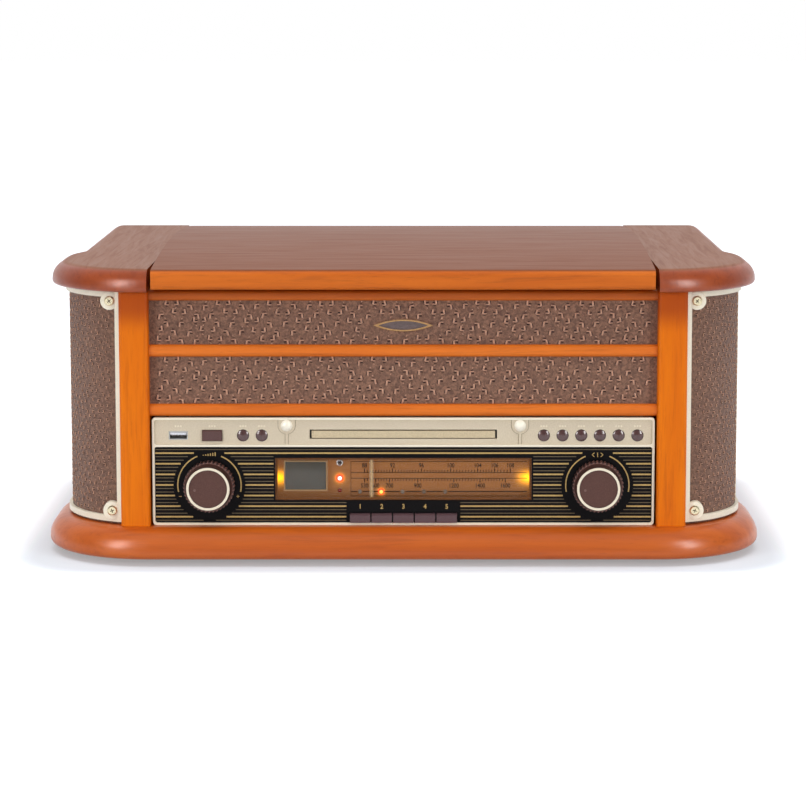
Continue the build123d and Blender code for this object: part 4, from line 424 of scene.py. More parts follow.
def circuit_finish():
    """Green circuit board, with the steel shell of the USB socket and the dark cases on it."""
    board = Finish("circuit_board", Roughness=0.4)
    x, y, z = board.axes()
    tracks = board.noise(board.stretch((1, 1, 1)), 260.0, 2.0, 0.3, 2.0)
    tone = board.blend(board.between(tracks, 0.48, 0.52), (26, 70, 44), (44, 96, 58))
    cases = board.sum("LESS_THAN", y, -143.2 * MM)
    tone = board.blend(cases, tone, (40, 38, 40))
    shell = board.sum("LESS_THAN", board.sum("ABSOLUTE", board.sum("SUBTRACT", x, USB_X * MM)), 8 * MM)
    shell = board.sum("MULTIPLY", shell, cases)
    board.paint(board.blend(shell, tone, (196, 194, 190)))
    board.paint(shell, "Metallic")
    return board.emboss(tracks, 0.05, 0.4).material


def socket_finish():
    """Black plate with a red and a white line socket."""
    plate = Finish("socket_black", Roughness=0.4)
    x, y, z = plate.axes()
    grain = plate.noise(plate.place, 1400.0, 3.0, 0.6)
    tone = plate.blend(plate.between(grain, 0.3, 0.7), (24, 23, 24), (38, 37, 38))
    for centre, rgb in ((SOCKET_X[0], (176, 26, 24)), (SOCKET_X[1], (222, 218, 210))):
        dx = plate.sum("SUBTRACT", x, centre * MM)
        dz = plate.sum("SUBTRACT", z, SOCKET_Z * MM)
        reach = plate.sum("SQRT", plate.sum("ADD", plate.sum("MULTIPLY", dx, dx), plate.sum("MULTIPLY", dz, dz)))
        collar = plate.sum("MULTIPLY", plate.sum("LESS_THAN", reach, 4.4 * MM), plate.sum("GREATER_THAN", reach, 1.8 * MM))
        collar = plate.sum("MULTIPLY", collar, plate.sum("GREATER_THAN", y, 178.5 * MM))
        tone = plate.blend(collar, tone, rgb)
    plate.paint(tone)
    return plate.emboss(grain, 0.05, 0.4).material


def board_finish():
    """Dark painted fibreboard of the back."""
    board = Finish("painted_fibreboard", Roughness=0.7)
    fleck = board.noise(board.place, 420.0, 5.0, 0.75)
    cloud = board.noise(board.place, 12.0, 3.0, 0.6)
    tone = board.blend(board.between(fleck, 0.3, 0.75), (40, 32, 28), (66, 54, 46))
    tone = board.blend(board.between(cloud, 0.3, 0.7, 0.0, 0.4), tone, (48, 38, 34))
    board.paint(tone)
    return board.emboss(fleck, 0.12, 0.5).material


def badge_finish():
    """Brass badge with a bare slate-violet field."""
    brass = Finish("badge_brass", Metallic=1.0, Roughness=0.32)
    x, y, z = brass.axes()
    dx = brass.sum("DIVIDE", x, 17.9 * MM)
    dz = brass.sum("DIVIDE", brass.sum("SUBTRACT", z, 171 * MM), 3.4 * MM)
    inside = brass.sum("LESS_THAN", brass.sum("ADD", brass.sum("MULTIPLY", dx, dx), brass.sum("MULTIPLY", dz, dz)), 1.0)
    inside = brass.sum("MULTIPLY", inside, brass.sum("GREATER_THAN", y, -157.6 * MM))
    grain = brass.noise(brass.stretch((1, 1, 6)), 500.0, 3.0, 0.6)
    rim = brass.blend(brass.between(grain, 0.3, 0.7), (150, 112, 74), (190, 150, 104))
    field = brass.blend(brass.between(grain, 0.3, 0.7), (84, 68, 66), (108, 90, 88))
    brass.paint(brass.blend(inside, rim, field))
    brass.paint(brass.between(inside, 0.0, 1.0, 1.0, 0.2), "Metallic")
    return brass.emboss(grain, 0.03, 0.3).material


ALONG_X = (2.2, 34, 34)
ALONG_Y = (34, 2.2, 34)
ALONG_Z = (34, 34, 2.2)
BOX_WOOD = veneer("base_veneer", ALONG_X, (200, 96, 18), (184, 82, 12), (142, 54, 8), 0.7)
FINISHES = {
    "base_board": BOX_WOOD,
    # Wing tops: painted shade as a darker tone on the top face.
    "top_wings": veneer("wing_veneer", (34, 2.2, 34), (156, 66, 18), (138, 54, 12), (96, 34, 10), 0.7,
                        top=(212.3, (134, 76, 40), 0.22)),
    # Posts: painted shade towards the top under the wing overhang, together with a darker stain burst there.
    "posts": veneer("post_veneer", ALONG_Z, (230, 118, 0), (218, 104, 0), (164, 60, 6), 0.1, painted_shade_above=165),
    "side_panels": veneer("side_veneer", ALONG_Y, (206, 96, 30), (190, 84, 24), (150, 58, 18)),
    # Rails: the top rail is painted darker, as painted shadow under the lid.
    "front_rails": veneer("rail_veneer", ALONG_X, (228, 120, 34), (212, 102, 22), (136, 56, 6), 0.3, painted_shade_above=178),
    # Lid top: painted shade as a darker tone on the top face.
    "lid": veneer("lid_veneer", ALONG_X, (208, 106, 26), (190, 90, 18), (112, 48, 20), 0.2,
                  top=(212.6, (124, 64, 26), 0.2)),
    "back_panel": board_finish(),
    "feet": moulded("foot_rubber", (34, 32, 33), 0.85, 0.1),
    "front_cloth_panels": cloth("front_cloth"),
    "grille_cloths": cloth("corner_cloth"),
    "badge": badge_finish(),
    "grille_frames": moulded("frame_champagne", (246, 238, 216), 0.42, 0.02, 0.1, 0.03),
    "grille_screws": metal("pale_brass", (232, 218, 182), 0.3),
    "fascia": fascia_finish(),
    "fascia_studs": moulded("pearl", (250, 243, 224), 0.34, 0.01, 0.08, 0.0, gloss=0.4),
    "dial_panel": moulded("panel_black", BLACK, 0.42, 0.2, 0.0, gloss=0.06),
    "dial_window": window_finish(),
    "dial_plate": dial_finish(),
    "display": moulded("display_cream", (182, 148, 104), 0.4, 0.04, 0.2),
    "pointer": moulded("pointer_gold", (222, 184, 120), 0.35, 0.04, 0.4),
    "volume_knob": knob_finish(("left", -1)),
    "tuning_knob": knob_finish(("right", 1)),
    "power_button": moulded("button_brown", (88, 58, 54), 0.35, 0.06, 0.2),
    "cd_drawer": moulded("drawer_champagne", (206, 188, 154), 0.45, 0.04, 0.0),
    "deck_plate": moulded("deck_plastic", (40, 36, 34), 0.6, 0.16, 0.0, 0.12, 700.0),
    "platter": metal("platter_aluminium", (188, 188, 186), 0.32, (1, 1, 12)),
    "platter_mat": mat_finish(),
    "drive_belt": moulded("belt_rubber", (26, 25, 25), 0.7, 0.1),
    "motor_pulley": metal("pulley_brass", (206, 176, 110), 0.25),
    "turntable_motor": metal("motor_can", (170, 170, 168), 0.35),
    "tonearm_gimbal": moulded("gimbal_black", (30, 28, 28), 0.4, 0.1, 0.3),
    "tonearm": metal("arm_tube", (186, 186, 184), 0.28, (12, 1, 12)),
    "speed_selector": moulded("selector_black", (34, 32, 32), 0.45, 0.1),
    "lid_hinge_leaves": metal("hinge_brass", (190, 160, 98), 0.35),
    "cabinet_hinge_leaves": metal("hinge_brass_fixed", (190, 160, 98), 0.35),
    "lid_stay": metal("stay_steel", (178, 178, 176), 0.35),
    "cassette_mechanism": moulded("cassette_black", (32, 30, 30), 0.5, 0.12),
    "cassette_flap": moulded("flap_smoke", (40, 36, 36), 0.3, 0.1, 0.5),
    "cassette_key": moulded("key_brown", (96, 66, 62), 0.35, 0.06, 0.4),
    "transformer": moulded("transformer_lacquer", (92, 60, 38), 0.5, 0.15),
    "rear_sockets": socket_finish(),
    "speakers": moulded("cone_black", (34, 32, 33), 0.7, 0.15),
    "speaker_boxes": board_finish(),
    "cd_mechanism": moulded("chassis_grey", (86, 84, 82), 0.5, 0.1),
    "front_board": circuit_finish(),
    "dial_cord": moulded("cord_cream", (206, 196, 170), 0.8, 0.1),
    "indicator_lights": moulded("lamp_grey", (104, 84, 66), 0.35, 0.1, 0.3),
}
BUTTON = moulded("dome_brown", BUTTON_BROWN, 0.3, 0.05, 0.7, 0.0)
KEY = moulded("key_mauve", (86, 60, 64), 0.34, 0.05, 0.3)
GOLD_INK = moulded("gold_ink", GOLD, 0.45, 0.05, 0.0, 0.0)
DIM_INK = moulded("dim_gold_ink", DIM_GOLD, 0.5, 0.06, 0.0, 0.0)
SCALE_PRINT = moulded("scale_ink", SCALE_INK, 0.6, 0.06, 0.0, 0.0)
# Near-black colour for painted shade in gaps.
PAINTED_GAP_SHADE = moulded("gap_shade", (14, 12, 12), 0.7, 0.1)
SLOT_SHADE = moulded("slot_shade", (74, 58, 34), 0.6, 0.1)
FIGURE = cloth_figure()
# Painted shadow beside the cloth's raised figures.
PAINTED_FIGURE_SHADOW = moulded("cloth_shade", (58, 40, 38), 0.9, 0.15, gloss=0.1)
GLASS = moulded("display_glass", (74, 84, 80), 0.16, 0.04, 0.2, 0.0)
CHROME = metal("lamp_ring", (220, 218, 214), 0.15)
WHITE_TONGUE = moulded("socket_tongue", (220, 222, 226), 0.4, 0.03)
CONTACT = metal("socket_contact", (120, 112, 108), 0.3)

for name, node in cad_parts.items():
    finish = FINISHES.get(name)
    if finish is None:
        finish = KEY if name.startswith("function_key") else BUTTON
    node.data.materials.clear()
    node.data.materials.append(finish)


# ---- shaping ----
def finish_piece(name, bm, body, material, smooth=True):
    """Makes a bmesh in millimetres a piece that rides on a body."""
    bmesh.ops.scale(bm, vec=(MM, MM, MM), verts=bm.verts)
    bmesh.ops.recalc_face_normals(bm, faces=bm.faces)
    mesh = bpy.data.meshes.new(name)
    bm.to_mesh(mesh)
    bm.free()
    mesh.materials.append(material)
    for face in mesh.polygons:
        face.use_smooth = smooth
    piece = bpy.data.objects.new(name, mesh)
    bpy.context.scene.collection.objects.link(piece)
    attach(piece, body)
    return piece


def bar(bm, centre, size, turn=0.0, bevel=0.0, segments=2):
    """A block seen from the front, turned in its own plane: centre and size are x, y, z."""
    place = Matrix.Translation(centre) @ Matrix.Rotation(turn, 4, "Y") @ Matrix.Diagonal((*size, 1))
    made = bmesh.ops.create_cube(bm, size=1, matrix=place)
    if bevel:
        edges = {edge for vert in made["verts"] for edge in vert.link_edges}
        bmesh.ops.bevel(bm, geom=list(edges), offset=bevel, offset_type="OFFSET", segments=segments, profile=0.5,
                        affect="EDGES", material=-1)
    return made["verts"]


def dome(bm, centre, radius, height, rings=5, around=24):
    """A low dome facing the front."""
    made = bmesh.ops.create_uvsphere(bm, u_segments=around, v_segments=rings * 2, radius=1.0)
    verts = made["verts"]
    bmesh.ops.scale(bm, vec=(radius, height, radius), verts=verts)
    bmesh.ops.translate(bm, vec=centre, verts=verts)
    return verts


def ring(bm, centre, outer, inner, depth, around=40, start=0.0, sweep=2 * math.pi):
    """A flat ring or an arc of one, facing the front, with its face at the centre's y."""
    x, y, z = centre
    corners = [bm.verts.new((x + r, y + d, z)) for r, d in ((inner, 0), (outer, 0), (outer, depth), (inner, depth))]
    bmesh.ops.rotate(bm, cent=centre, matrix=Matrix.Rotation(-start, 3, "Y"), verts=corners)
    face = bm.faces.new(corners)
    full = abs(sweep - 2 * math.pi) < 0.001
    made = bmesh.ops.spin(bm, geom=[face] if not full else list(face.edges) + list(face.verts), cent=centre, axis=(0, -1, 0),
                          angle=sweep, steps=around, use_merge=full)
    if full:
        bmesh.ops.delete(bm, geom=[face], context="FACES_ONLY")
    return made


def printed(words, height):
    """Numbers as a flat bmesh, centred, in millimetres, facing the front."""
    curve = bpy.data.curves.new("numbers", "FONT")
    curve.body = words
    curve.size = height * 1.4
    curve.align_x = "CENTER"
    curve.align_y = "CENTER"
    curve.resolution_u = 3
    curve.extrude = 0.02
    curve.offset = 0.1
    holder = bpy.data.objects.new("numbers", curve)
    mesh = bpy.data.meshes.new_from_object(holder)
    bm = bmesh.new()
    bm.from_mesh(mesh)
    bpy.data.objects.remove(holder)
    bpy.data.meshes.remove(mesh)
    bmesh.ops.rotate(bm, cent=(0, 0, 0), matrix=Matrix.Rotation(math.pi / 2, 3, "X"), verts=bm.verts)
    return bm


def add_words(bm, words, height, centre, narrow=1.0):
    """Prints numbers on a face: centre is x, y, z."""
    letters = printed(words, height)
    bmesh.ops.scale(letters, vec=(narrow, 1, 1), verts=letters.verts)
    bmesh.ops.translate(letters, vec=centre, verts=letters.verts)
    mesh = bpy.data.meshes.new("letters")
    letters.to_mesh(mesh)
    letters.free()
    bm.from_mesh(mesh)
    bpy.data.meshes.remove(mesh)


# ---- printing on the black panel ----
def stripe_ends(z):
    """Where a stripe at this level starts and stops: x runs that miss the knobs, window and key panel."""
    gap = DISC_R**2 - (z - KNOB_Z) ** 2
    cuts = []
    if gap > 0:
        half = math.sqrt(gap)
        cuts += [(side * KNOB_X - half, side * KNOB_X + half) for side in (-1, 1)]
    if WINDOW_BOTTOM - 1.4 < z < WINDOW_TOP + 1.4:
        cuts.append((-WINDOW_HALF - 1.2, WINDOW_HALF + 1.2))
    elif z < KEY_PANEL_TOP + 0.6:
        cuts.append((-KEY_PANEL_HALF, KEY_PANEL_HALF))
    runs = []
    left = -PANEL_HALF
    for start, stop in sorted(cuts):
        runs.append((left, start))
        left = stop
    runs.append((left, PANEL_HALF))
    return [(a, b) for a, b in runs if b - a > 1.5]


def print_stripes():
    """Pinstripes: every third one wide and gold, the others thin and dim."""
    gold, dim = bmesh.new(), bmesh.new()
    for k in range(-1, 20):
        z = 78.75 - 2.577 * k
        wide = k % 3 == 0
        for start, stop in stripe_ends(z):
            size = (stop - start, 0.04, 1.15 if wide else 0.6)
            bar(gold if wide else dim, ((start + stop) / 2, PANEL_FACE - 0.02, z), size)
    for side in (-1, 1):
        for start in (112, -12):
            begin = math.radians(start if side < 0 else 180 - start - 80)
            ring(gold, (side * KNOB_X, PANEL_FACE - 0.03, KNOB_Z), 23.2, 22.3, 0.03, 24, begin, math.radians(80))
    for x, z in ((-160.3, 47.2), (-118.9, 47.2)):
        bar(gold, (x, PANEL_FACE - 0.02, z), (2.0, 0.04, 0.45))
    bar(gold, (-118.9, PANEL_FACE - 0.02, 47.2), (0.45, 0.04, 2.0))
    finish_piece("panel_stripes_gold", gold, "cabinet", GOLD_INK, False)
    finish_piece("panel_stripes_dim", dim, "cabinet", DIM_INK, False)


def print_signs():
    """A widening wedge over the volume knob, and two arrowheads over the tuning knob."""
    bm = bmesh.new()
    for i in range(6):
        bar(bm, (-KNOB_X - 4.2 + 1.7 * i, PANEL_FACE - 0.02, 77.2 + 0.15 * i), (0.8, 0.04, 0.6 + 0.42 * i))
    for side in (-1, 1):
        for turn in (-1, 1):
            bar(bm, (KNOB_X + side * 3.1, PANEL_FACE - 0.02, 77.5 + 0.75 * turn), (2.3, 0.04, 0.55),
                side * turn * math.radians(42))
    bar(bm, (KNOB_X, PANEL_FACE - 0.02, 77.5), (0.6, 0.04, 3.2))
    for i in range(5):
        add_words(bm, str(i + 1), 3.4, ((i - 2) * KEY_PITCH, KEY_PANEL_FACE, 39.8), 0.9)
    finish_piece("panel_signs", bm, "cabinet", GOLD_INK, False)


def print_scale():
    """Dial scale: rules, ticks and plain numbers."""
    bm = bmesh.new()
    y = DIAL_FACE - 0.04
    left, right = -37.9, 89.1
    for z in (71.1, 63.0, 58.9, 45.9):
        bar(bm, ((left + right) / 2, y, z), (right - left, 0.04, 0.42))
    for start, stop in ((left, -33.4), (-29.6, -18.0), (-13.9, -2.6), (1.4, 12.8), (16.8, 28.2), (32.2, right)):
        bar(bm, ((start + stop) / 2, y, BAND_Z), (stop - start, 0.04, 0.75))
    bar(bm, (left, y, (71.1 + 45.9) / 2), (0.36, 0.04, 71.1 - 45.9))
    upper = ((88, -28.1), (92, -7.9), (96, 12.9), (100, 34.0), (104, 53.5), (106, 65.7), (108, 77.0))
    lower = ((530, -28.1), (600, -20.1), (700, -10.1), (900, 10.3), (1200, 36.3), (1400, 55.2), (1600, 73.4))
    for row, base, way, words_z in ((upper, 63.0, 1, 68.2), (lower, 58.9, -1, 53.4)):
        for number, x in row:
            add_words(bm, str(number), 3.2, (x, y, words_z), 0.82)
            bar(bm, (x, y, base + way * 1.5), (0.7, 0.04, 3.1))
        for (_, start), (_, stop) in zip(row, row[1:]):
            count = max(3, round((stop - start) / 2.1))
            for i in range(1, count):
                bar(bm, (start + (stop - start) * i / count, y, base + way * 0.95), (0.62, 0.04, 2.1))
    finish_piece("dial_print", bm, "cabinet", SCALE_PRINT, False)
    post = bmesh.new()
    bar(post, (right + 0.9, DIAL_FACE - 0.5, 58.8), (2.0, 1.0, 29.4), bevel=0.3)
    finish_piece("dial_end_bar", post, "cabinet", FINISHES["dial_plate"])


def dress_display():
    """Display: bevelled cream edge round a grey glass."""
    x0, x1, z0, z1 = DISPLAY
    glass = bmesh.new()
    centre = ((x0 + x1) / 2, DISPLAY_FACE - 0.35, (z0 + z1) / 2)
    bar(glass, centre, (x1 - x0 - 2.2, 0.5, z1 - z0 - 2.2), bevel=0.15)
    finish_piece("display_glass", glass, "cabinet", GLASS)
    edge = bmesh.new()
    for x, z, w, h in (((x0 + x1) / 2, z1 - 0.5, x1 - x0, 1.0), ((x0 + x1) / 2, z0 + 0.5, x1 - x0, 1.0),
                       (x0 + 0.5, (z0 + z1) / 2, 1.0, z1 - z0 - 2.0), (x1 - 0.5, (z0 + z1) / 2, 1.0, z1 - z0 - 2.0)):
        bar(edge, (x, DISPLAY_FACE - 0.45, z), (w, 0.9, h), bevel=0.3)
    finish_piece("display_edge", edge, "cabinet", FINISHES["display"])


def dress_pointer():
    """Clear sleeve round the pointer's needle."""
    clear = Finish("pointer_sleeve", Roughness=0.15, Alpha=0.2)
    haze = clear.noise(clear.place, 300.0, 2.0, 0.5)
    clear.paint(clear.blend(haze, (226, 196, 150), (240, 216, 176)))
    sleeve = bmesh.new()
    bar(sleeve, (POINTER_X, POINTER_FACE - 0.15, 59.8), (3.3, 0.25, 28.4), bevel=0.1)
    finish_piece("pointer_sleeve", sleeve, "pointer", clear.material)


def dress_lamps():
    """Lamps on the dial: sensor, power, stereo and the five band lamps."""
    chrome = bmesh.new()
    ring(chrome, (STATUS_X, LIGHTS_FACE - 0.5, SENSOR_Z), 2.4, 1.6, 0.5, 28)
    finish_piece("sensor_ring", chrome, "cabinet", CHROME)
    for name, x, z, radius, look in (
        ("sensor_dome", STATUS_X, SENSOR_Z, 1.55, moulded("sensor_black", (18, 16, 18), 0.12, 0.1, 0.9, 0.0)),
        ("power_lamp", STATUS_X, POWER_Z, 1.5, lamp("power_glow", (255, 240, 232), (255, 236, 226), 1.6)),
        ("stereo_lamp", STATUS_X, STEREO_Z, 1.4, lamp("stereo_red", (120, 28, 22), (160, 20, 10), 0.15)),
    ):
        bm = bmesh.new()
        dome(bm, (x, LIGHTS_FACE, z), radius, 0.8)
        finish_piece(name, bm, "cabinet", look)
    for index, x in enumerate(BAND_X):
        bm = bmesh.new()
        dome(bm, (x, LIGHTS_FACE, BAND_Z), 1.4, 0.7)
        lit = index == LIT_BAND
        look = lamp("band_lit", (255, 214, 120), (255, 176, 60), 1.7) if lit else lamp("band_dark_%d" % index, (126, 116, 104), (120, 100, 80), 0.0)
        finish_piece("band_lamp_%d" % (index + 1), bm, "cabinet", look)


def dress_cloth():
    """Raised figures of the cloth with strokes of painted shadow beside them, in rows that step from left to right."""
    draw = random.Random(7)
    front = bmesh.new(), bmesh.new()

    def flat(along, up, out):
        return (along, CLOTH_FACE - out, up)

    for low, high in CLOTH_BANDS:
        for row in range(5):
            z = low + (row + 0.5) * (high - low) / 5
            for i in range(38):
                x = 4.5 - CLOTH_HALF + (i + 0.4 * row % 1) * (2 * CLOTH_HALF - 9) / 38
                if not (abs(x) < 25 and 163 < z < 179):
                    figure(front, draw, x, z, flat, (i + row) % 4, 3 * CLOTH_HALF)
    lay_figures("front_cloth", front)
    for side, tag in ((-1, "left"), (1, "right")):
        pair = bmesh.new(), bmesh.new()
        first = math.radians(-63)
        bend = (0.0 - first) * GRILLE_CLOTH_R

        def wrap(along, up, out, side=side, first=first, bend=bend):
            turn = min(0.0, first + along / GRILLE_CLOTH_R)
            reach = GRILLE_CLOTH_R + out
            y = GRILLE_Y + reach * math.sin(turn) + max(0.0, along - bend)
            return (side * (GRILLE_X + reach * math.cos(turn)), y, up)

        for row in range(33):
            v = GRILLE_LOW + 3 + row * (GRILLE_HIGH - GRILLE_LOW - 6) / 32
            for i in range(14):
                u = 2.0 + (i + 0.4 * row % 1) * (bend + 9) / 14
                figure(pair, draw, u, v, wrap, (i + row) % 4, bend + 8, 0.58)
        lay_figures("corner_cloth_" + tag, pair)


def lay_figures(name, pair):
    """Makes the pale figures and their painted shadow strokes two pieces of the cloth."""
    finish_piece(name + "_figures", pair[0], "cabinet", FIGURE)
    finish_piece(name + "_painted_shadows", pair[1], "cabinet", PAINTED_FIGURE_SHADOW)


def figure(pair, draw, u, v, wrap, kind, end, size=1.0):
    """One raised figure laid on the cloth by wrap(along, up, out): a thick arm and a thin one that meet in a corner.

    kind turns it, and a figure whose place is past the end is left out."""
    u += draw.uniform(-0.7, 0.7)
    v += draw.uniform(-0.7, 0.7)
    if u > end:
        return
    hand = 1 if kind in (0, 3) else -1
    rise = 1 if kind < 2 else -1
    lean = draw.uniform(0.1, 0.9) * (-hand if rise > 0 else hand)
    pale, dark = pair
    strokes = [(pale, (0, 0), (lean * -1, 3.4 * rise), 1.35, 0.5)]
    strokes.append((pale, (0, 0), (2.7 * hand, draw.uniform(-0.4, 0.4)), 0.75, 0.35))
    # The dark strokes are painted shadow beside the raised arms.
    strokes.append((dark, (0.9 * hand, 1.05 * rise), (2.7 * hand, 1.15 * rise), 0.9, 0.12))
    strokes.append((dark, (0.3 * hand, -0.95 * rise), (2.1 * hand, -1.1 * rise), 0.55, 0.12))
    strokes.append((dark, (-1.0 * hand, 0.4 * rise), (-1.0 * hand - lean, 3.0 * rise), 0.5, 0.12))
    if draw.random() < 0.6:
        strokes.append((pale, (1.2 * hand, -2.4 * rise), (2.2 * hand, -2.9 * rise), 0.6, 0.25))
    for bm, start, stop, width, height in strokes:
        ends = [(size * a, size * b) for a, b in (start, stop)]
        stroke(bm, u, v, wrap, *ends, size * width, height)


def stroke(bm, u, v, wrap, start, stop, width, height):
    """A low ridge on the cloth from start to stop, both measured from the figure's corner."""
    dx, dz = stop[0] - start[0], stop[1] - start[1]
    length = math.hypot(dx, dz)
    dx, dz = dx / length, dz / length
    for vert in bmesh.ops.create_cube(bm, size=1)["verts"]:
        along = (vert.co.x + 0.5) * length
        across = vert.co.y * width * (0.6 if vert.co.z > 0 else 1.0)
        a = u + start[0] + dx * along - dz * across
        b = v + start[1] + dz * along + dx * across
        vert.co = wrap(a, b, 0.05 + height * (vert.co.z + 0.5))


def dress_screws():
    """Cross slots in the heads of the four grille screws."""
    bm = bmesh.new()
    for side in (-1, 1):
        for index, z in enumerate(SCREW_LEVELS):
            for turn in (0.3 + index * 0.4, 0.3 + index * 0.4 + math.pi / 2):
                bar(bm, (side * SCREW_X, SCREW_TOP - 0.03, z), (3.0, 0.1, 0.55), turn * side)
    finish_piece("screw_slots", bm, "cabinet", SLOT_SHADE, False)


def dress_hinges():
    """Three countersunk screws in each hinge leaf."""
    for name, z, body in (("cabinet_hinge_leaves", 187.0, "cabinet"), ("lid_hinge_leaves", 205.6, "lid")):
        heads, slots = bmesh.new(), bmesh.new()
        for hinge in (-1, 1):
            for step in (-1, 0, 1):
                x = hinge * HINGE_X + 14 * step
                dome(heads, (x, LEAF_FACE, z), 2.4, 0.5, 4, 20)
                bar(slots, (x, LEAF_FACE + 0.5, z), (3.4, 0.12, 0.5), 0.5 + step)
        finish_piece(name + "_screws", heads, body, FINISHES["grille_screws"])
        finish_piece(name + "_slots", slots, body, SLOT_SHADE, False)


def dress_fascia():
    """USB tongue and contacts, small raised marks over the buttons, a ring of painted shade in the gap round each
    button, and lines of painted shadow along the stud shields and stems.
    """
    tongue = bmesh.new()
    bar(tongue, (USB_X, -157.0, 92.9), (11.4, 4.0, 1.7), bevel=0.15)
    finish_piece("usb_tongue", tongue, "cabinet", WHITE_TONGUE)
    contacts = bmesh.new()
    for i in range(4):
        bar(contacts, (USB_X - 3.6 + 2.4 * i, -157.2, 91.6), (1.2, 3.6, 0.5))
    finish_piece("usb_contacts", contacts, "cabinet", CONTACT, False)
    # A thin dark ring round each button: painted shade in the gap between button and fascia.
    reveal = bmesh.new()
    for x in LEFT_BUTTONS + RIGHT_BUTTONS:
        ring(reveal, (x, FASCIA_FACE - 0.03, BUTTON_Z), 4.38, 4.05, 0.03, 32)
    finish_piece("button_reveals", reveal, "cabinet", PAINTED_GAP_SHADE)
    # Thin darker lines round the bottom and up the sides of each stud's shield, and beside its stem: painted shadow
    # along their raised edges.
    shade = bmesh.new()
    top = FASCIA_TOP - 1.2
    for side in (-1, 1):
        ring(shade, (side * STUD_X, FASCIA_FACE - 0.04, STUD_Z), SHIELD_HALF + 0.4, SHIELD_HALF, 0.04, 24,
             math.pi, math.pi)
        for edge in (-1, 1):
            x = side * STUD_X + edge * (SHIELD_HALF + 0.2)
            bar(shade, (x, FASCIA_FACE - 0.02, (STUD_Z + top) / 2), (0.4, 0.04, top - STUD_Z))
            x = side * STUD_X + edge * (STEM_HALF + 0.15)
            low = STUD_Z - SHIELD_HALF
            bar(shade, (x, FASCIA_FACE - 0.02, (PANEL_TOP + low) / 2 + 0.6), (0.3, 0.04, low - PANEL_TOP - 1.2))
    finish_piece("shield_edge_shadows", shade, "cabinet",
                 moulded("edge_shade", (152, 136, 112), 0.6, 0.04), False)
    marks = bmesh.new()
    for x in (USB_X, -137.0) + LEFT_BUTTONS + RIGHT_BUTTONS:
        for k in (-1, 0, 1):
            bar(marks, (x + 1.9 * k, FASCIA_FACE - 0.08, 98.4), (1.2, 0.3, 1.2), math.radians(45))
    finish_piece("raised_marks", marks, "cabinet", moulded("mark_champagne", (232, 220, 196), 0.5, 0.02), False)


def dress_knobs():
    """A small index mark on each knob's cap."""
    for side, body in ((-1, "volume_knob"), (1, "tuning_knob")):
        bm = bmesh.new()
        dome(bm, (side * KNOB_X - 9.5, KNOB_FACE + 0.05, KNOB_Z - 1.0), 1.0, 0.15, around=16)
        finish_piece(body + "_mark", bm, body, moulded(body + "_mark_brown", (112, 82, 74), 0.4, 0.05))


print_stripes()
print_signs()
print_scale()
dress_display()
dress_pointer()
dress_lamps()
dress_cloth()
dress_screws()
dress_hinges()
dress_fascia()
dress_knobs()


# ---- studio ----
def area_lamp(name, place, aim, size, power, in_gloss=True, in_diffuse=True):
    """A soft lamp that the camera doesn't see."""
    light = bpy.data.lights.new(name, "AREA")
    light.shape = "RECTANGLE"
    light.size, light.size_y = size
    light.energy = power
    holder = bpy.data.objects.new(name, light)
    holder.location = place
    holder.rotation_euler = (Vector(aim) - Vector(place)).to_track_quat("-Z", "Y").to_euler()
    holder.visible_camera = False
    holder.visible_glossy = in_gloss
    holder.visible_diffuse = in_diffuse
    bpy.context.scene.collection.objects.link(holder)


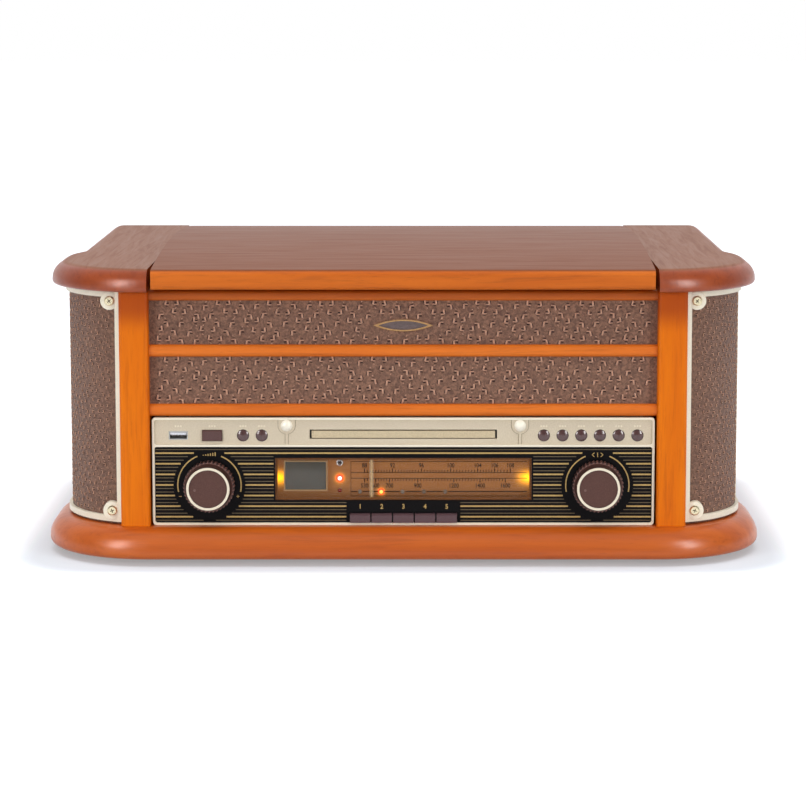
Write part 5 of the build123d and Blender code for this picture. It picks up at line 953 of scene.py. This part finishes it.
def studio():
    """White room: the backdrop shows white to the camera and in gloss, and lights the object softly."""
    world = bpy.data.worlds.new("studio")
    bpy.context.scene.world = world
    world.use_nodes = True
    nodes, links = world.node_tree.nodes, world.node_tree.links
    paths = nodes.new("ShaderNodeLightPath")
    seen = nodes.new("ShaderNodeMath")
    seen.operation = "MAXIMUM"
    links.new(paths.outputs["Is Camera Ray"], seen.inputs[0])
    links.new(paths.outputs["Is Transmission Ray"], seen.inputs[1])
    towards = nodes.new("ShaderNodeSeparateXYZ")
    links.new(nodes.new("ShaderNodeTexCoord").outputs["Generated"], towards.inputs[0])
    room = nodes.new("ShaderNodeMapRange")
    links.new(towards.outputs["Y"], room.inputs["Value"])
    for socket, value in (("From Min", -0.2), ("From Max", 0.5), ("To Min", 0.1), ("To Max", 0.95)):
        room.inputs[socket].default_value = value
    gloss = nodes.new("ShaderNodeMix")
    links.new(paths.outputs["Is Glossy Ray"], gloss.inputs["Factor"])
    gloss.inputs["A"].default_value = 0.5
    links.new(room.outputs[0], gloss.inputs["B"])
    level = nodes.new("ShaderNodeMath")
    level.operation = "MAXIMUM"
    links.new(seen.outputs[0], level.inputs[0])
    links.new(gloss.outputs["Result"], level.inputs[1])
    background = nodes["Background"]
    background.inputs["Color"].default_value = (1, 1, 1, 1)
    links.new(level.outputs[0], background.inputs["Strength"])
    for side, name in ((-1, "left"), (1, "right")):
        area_lamp(name + "_softbox", (side * 1.45, -1.75, 0.6), (0, -0.05, 0.1), (0.5, 0.6), 13, False)
        area_lamp(name + "_strip", (side * 1.5, -1.75, 0.98), (0, -0.05, 0.1), (0.5, 1.4), 38,
                  in_diffuse=False)
    area_lamp("overhead_softbox", (0.0, -0.4, 2.0), (0, 0, 0.1), (2.2, 1.6), 25, False)


def floor():
    """White table top that keeps the object's shadow."""
    bm = bmesh.new()
    bmesh.ops.create_grid(bm, x_segments=1, y_segments=1, size=12.0)
    mesh = bpy.data.meshes.new("table_top")
    bm.to_mesh(mesh)
    bm.free()
    table = bpy.data.objects.new("table_top", mesh)
    bpy.context.scene.collection.objects.link(table)
    look = Finish("table_white", Roughness=0.9)
    look.shader.inputs["Specular IOR Level"].default_value = 0.0
    look.paint((196, 203, 212))
    paths = look.nodes.new("ShaderNodeLightPath")
    look.paint((255, 255, 255), "Emission Color")
    seen = look.sum("MAXIMUM", paths.outputs["Is Camera Ray"], paths.outputs["Is Glossy Ray"])
    seen = look.sum("MAXIMUM", seen, paths.outputs["Is Transmission Ray"])
    x, y, _ = look.axes()
    # The glow that lifts the table to white is weaker in a band close round the object: there the table is painted
    # darker, as painted shade, and its real shadow shows as well.
    beside = look.sum("MAXIMUM", look.sum("SUBTRACT", look.sum("ABSOLUTE", x), 0.22), 0.0)
    ahead = look.sum("MAXIMUM", look.sum("SUBTRACT", look.sum("ABSOLUTE", y), 0.14), 0.0)
    away = look.sum("SQRT", look.sum("ADD", look.sum("MULTIPLY", beside, beside), look.sum("MULTIPLY", ahead, ahead)))
    level = look.between(away, 0.045, 0.082, 0.3, 0.8)
    look.links.new(look.sum("MULTIPLY", seen, level), look.shader.inputs["Emission Strength"])
    mesh.materials.append(look.material)


def camera():
    """Camera at the photograph's viewing angle."""
    lens = bpy.data.cameras.new("camera")
    lens.lens = 121.04
    lens.sensor_width = 36.0
    lens.shift_x = -0.0252
    lens.shift_y = -0.1
    lens.clip_end = 50.0
    holder = bpy.data.objects.new("camera", lens)
    holder.location = (0.0143, -2.0753, 0.4145)
    holder.rotation_euler = (math.radians(90 - 7.11), 0, 0)
    bpy.context.scene.collection.objects.link(holder)
    bpy.context.scene.camera = holder


studio()
floor()
camera()
bpy.context.scene.view_settings.view_transform = "Standard"
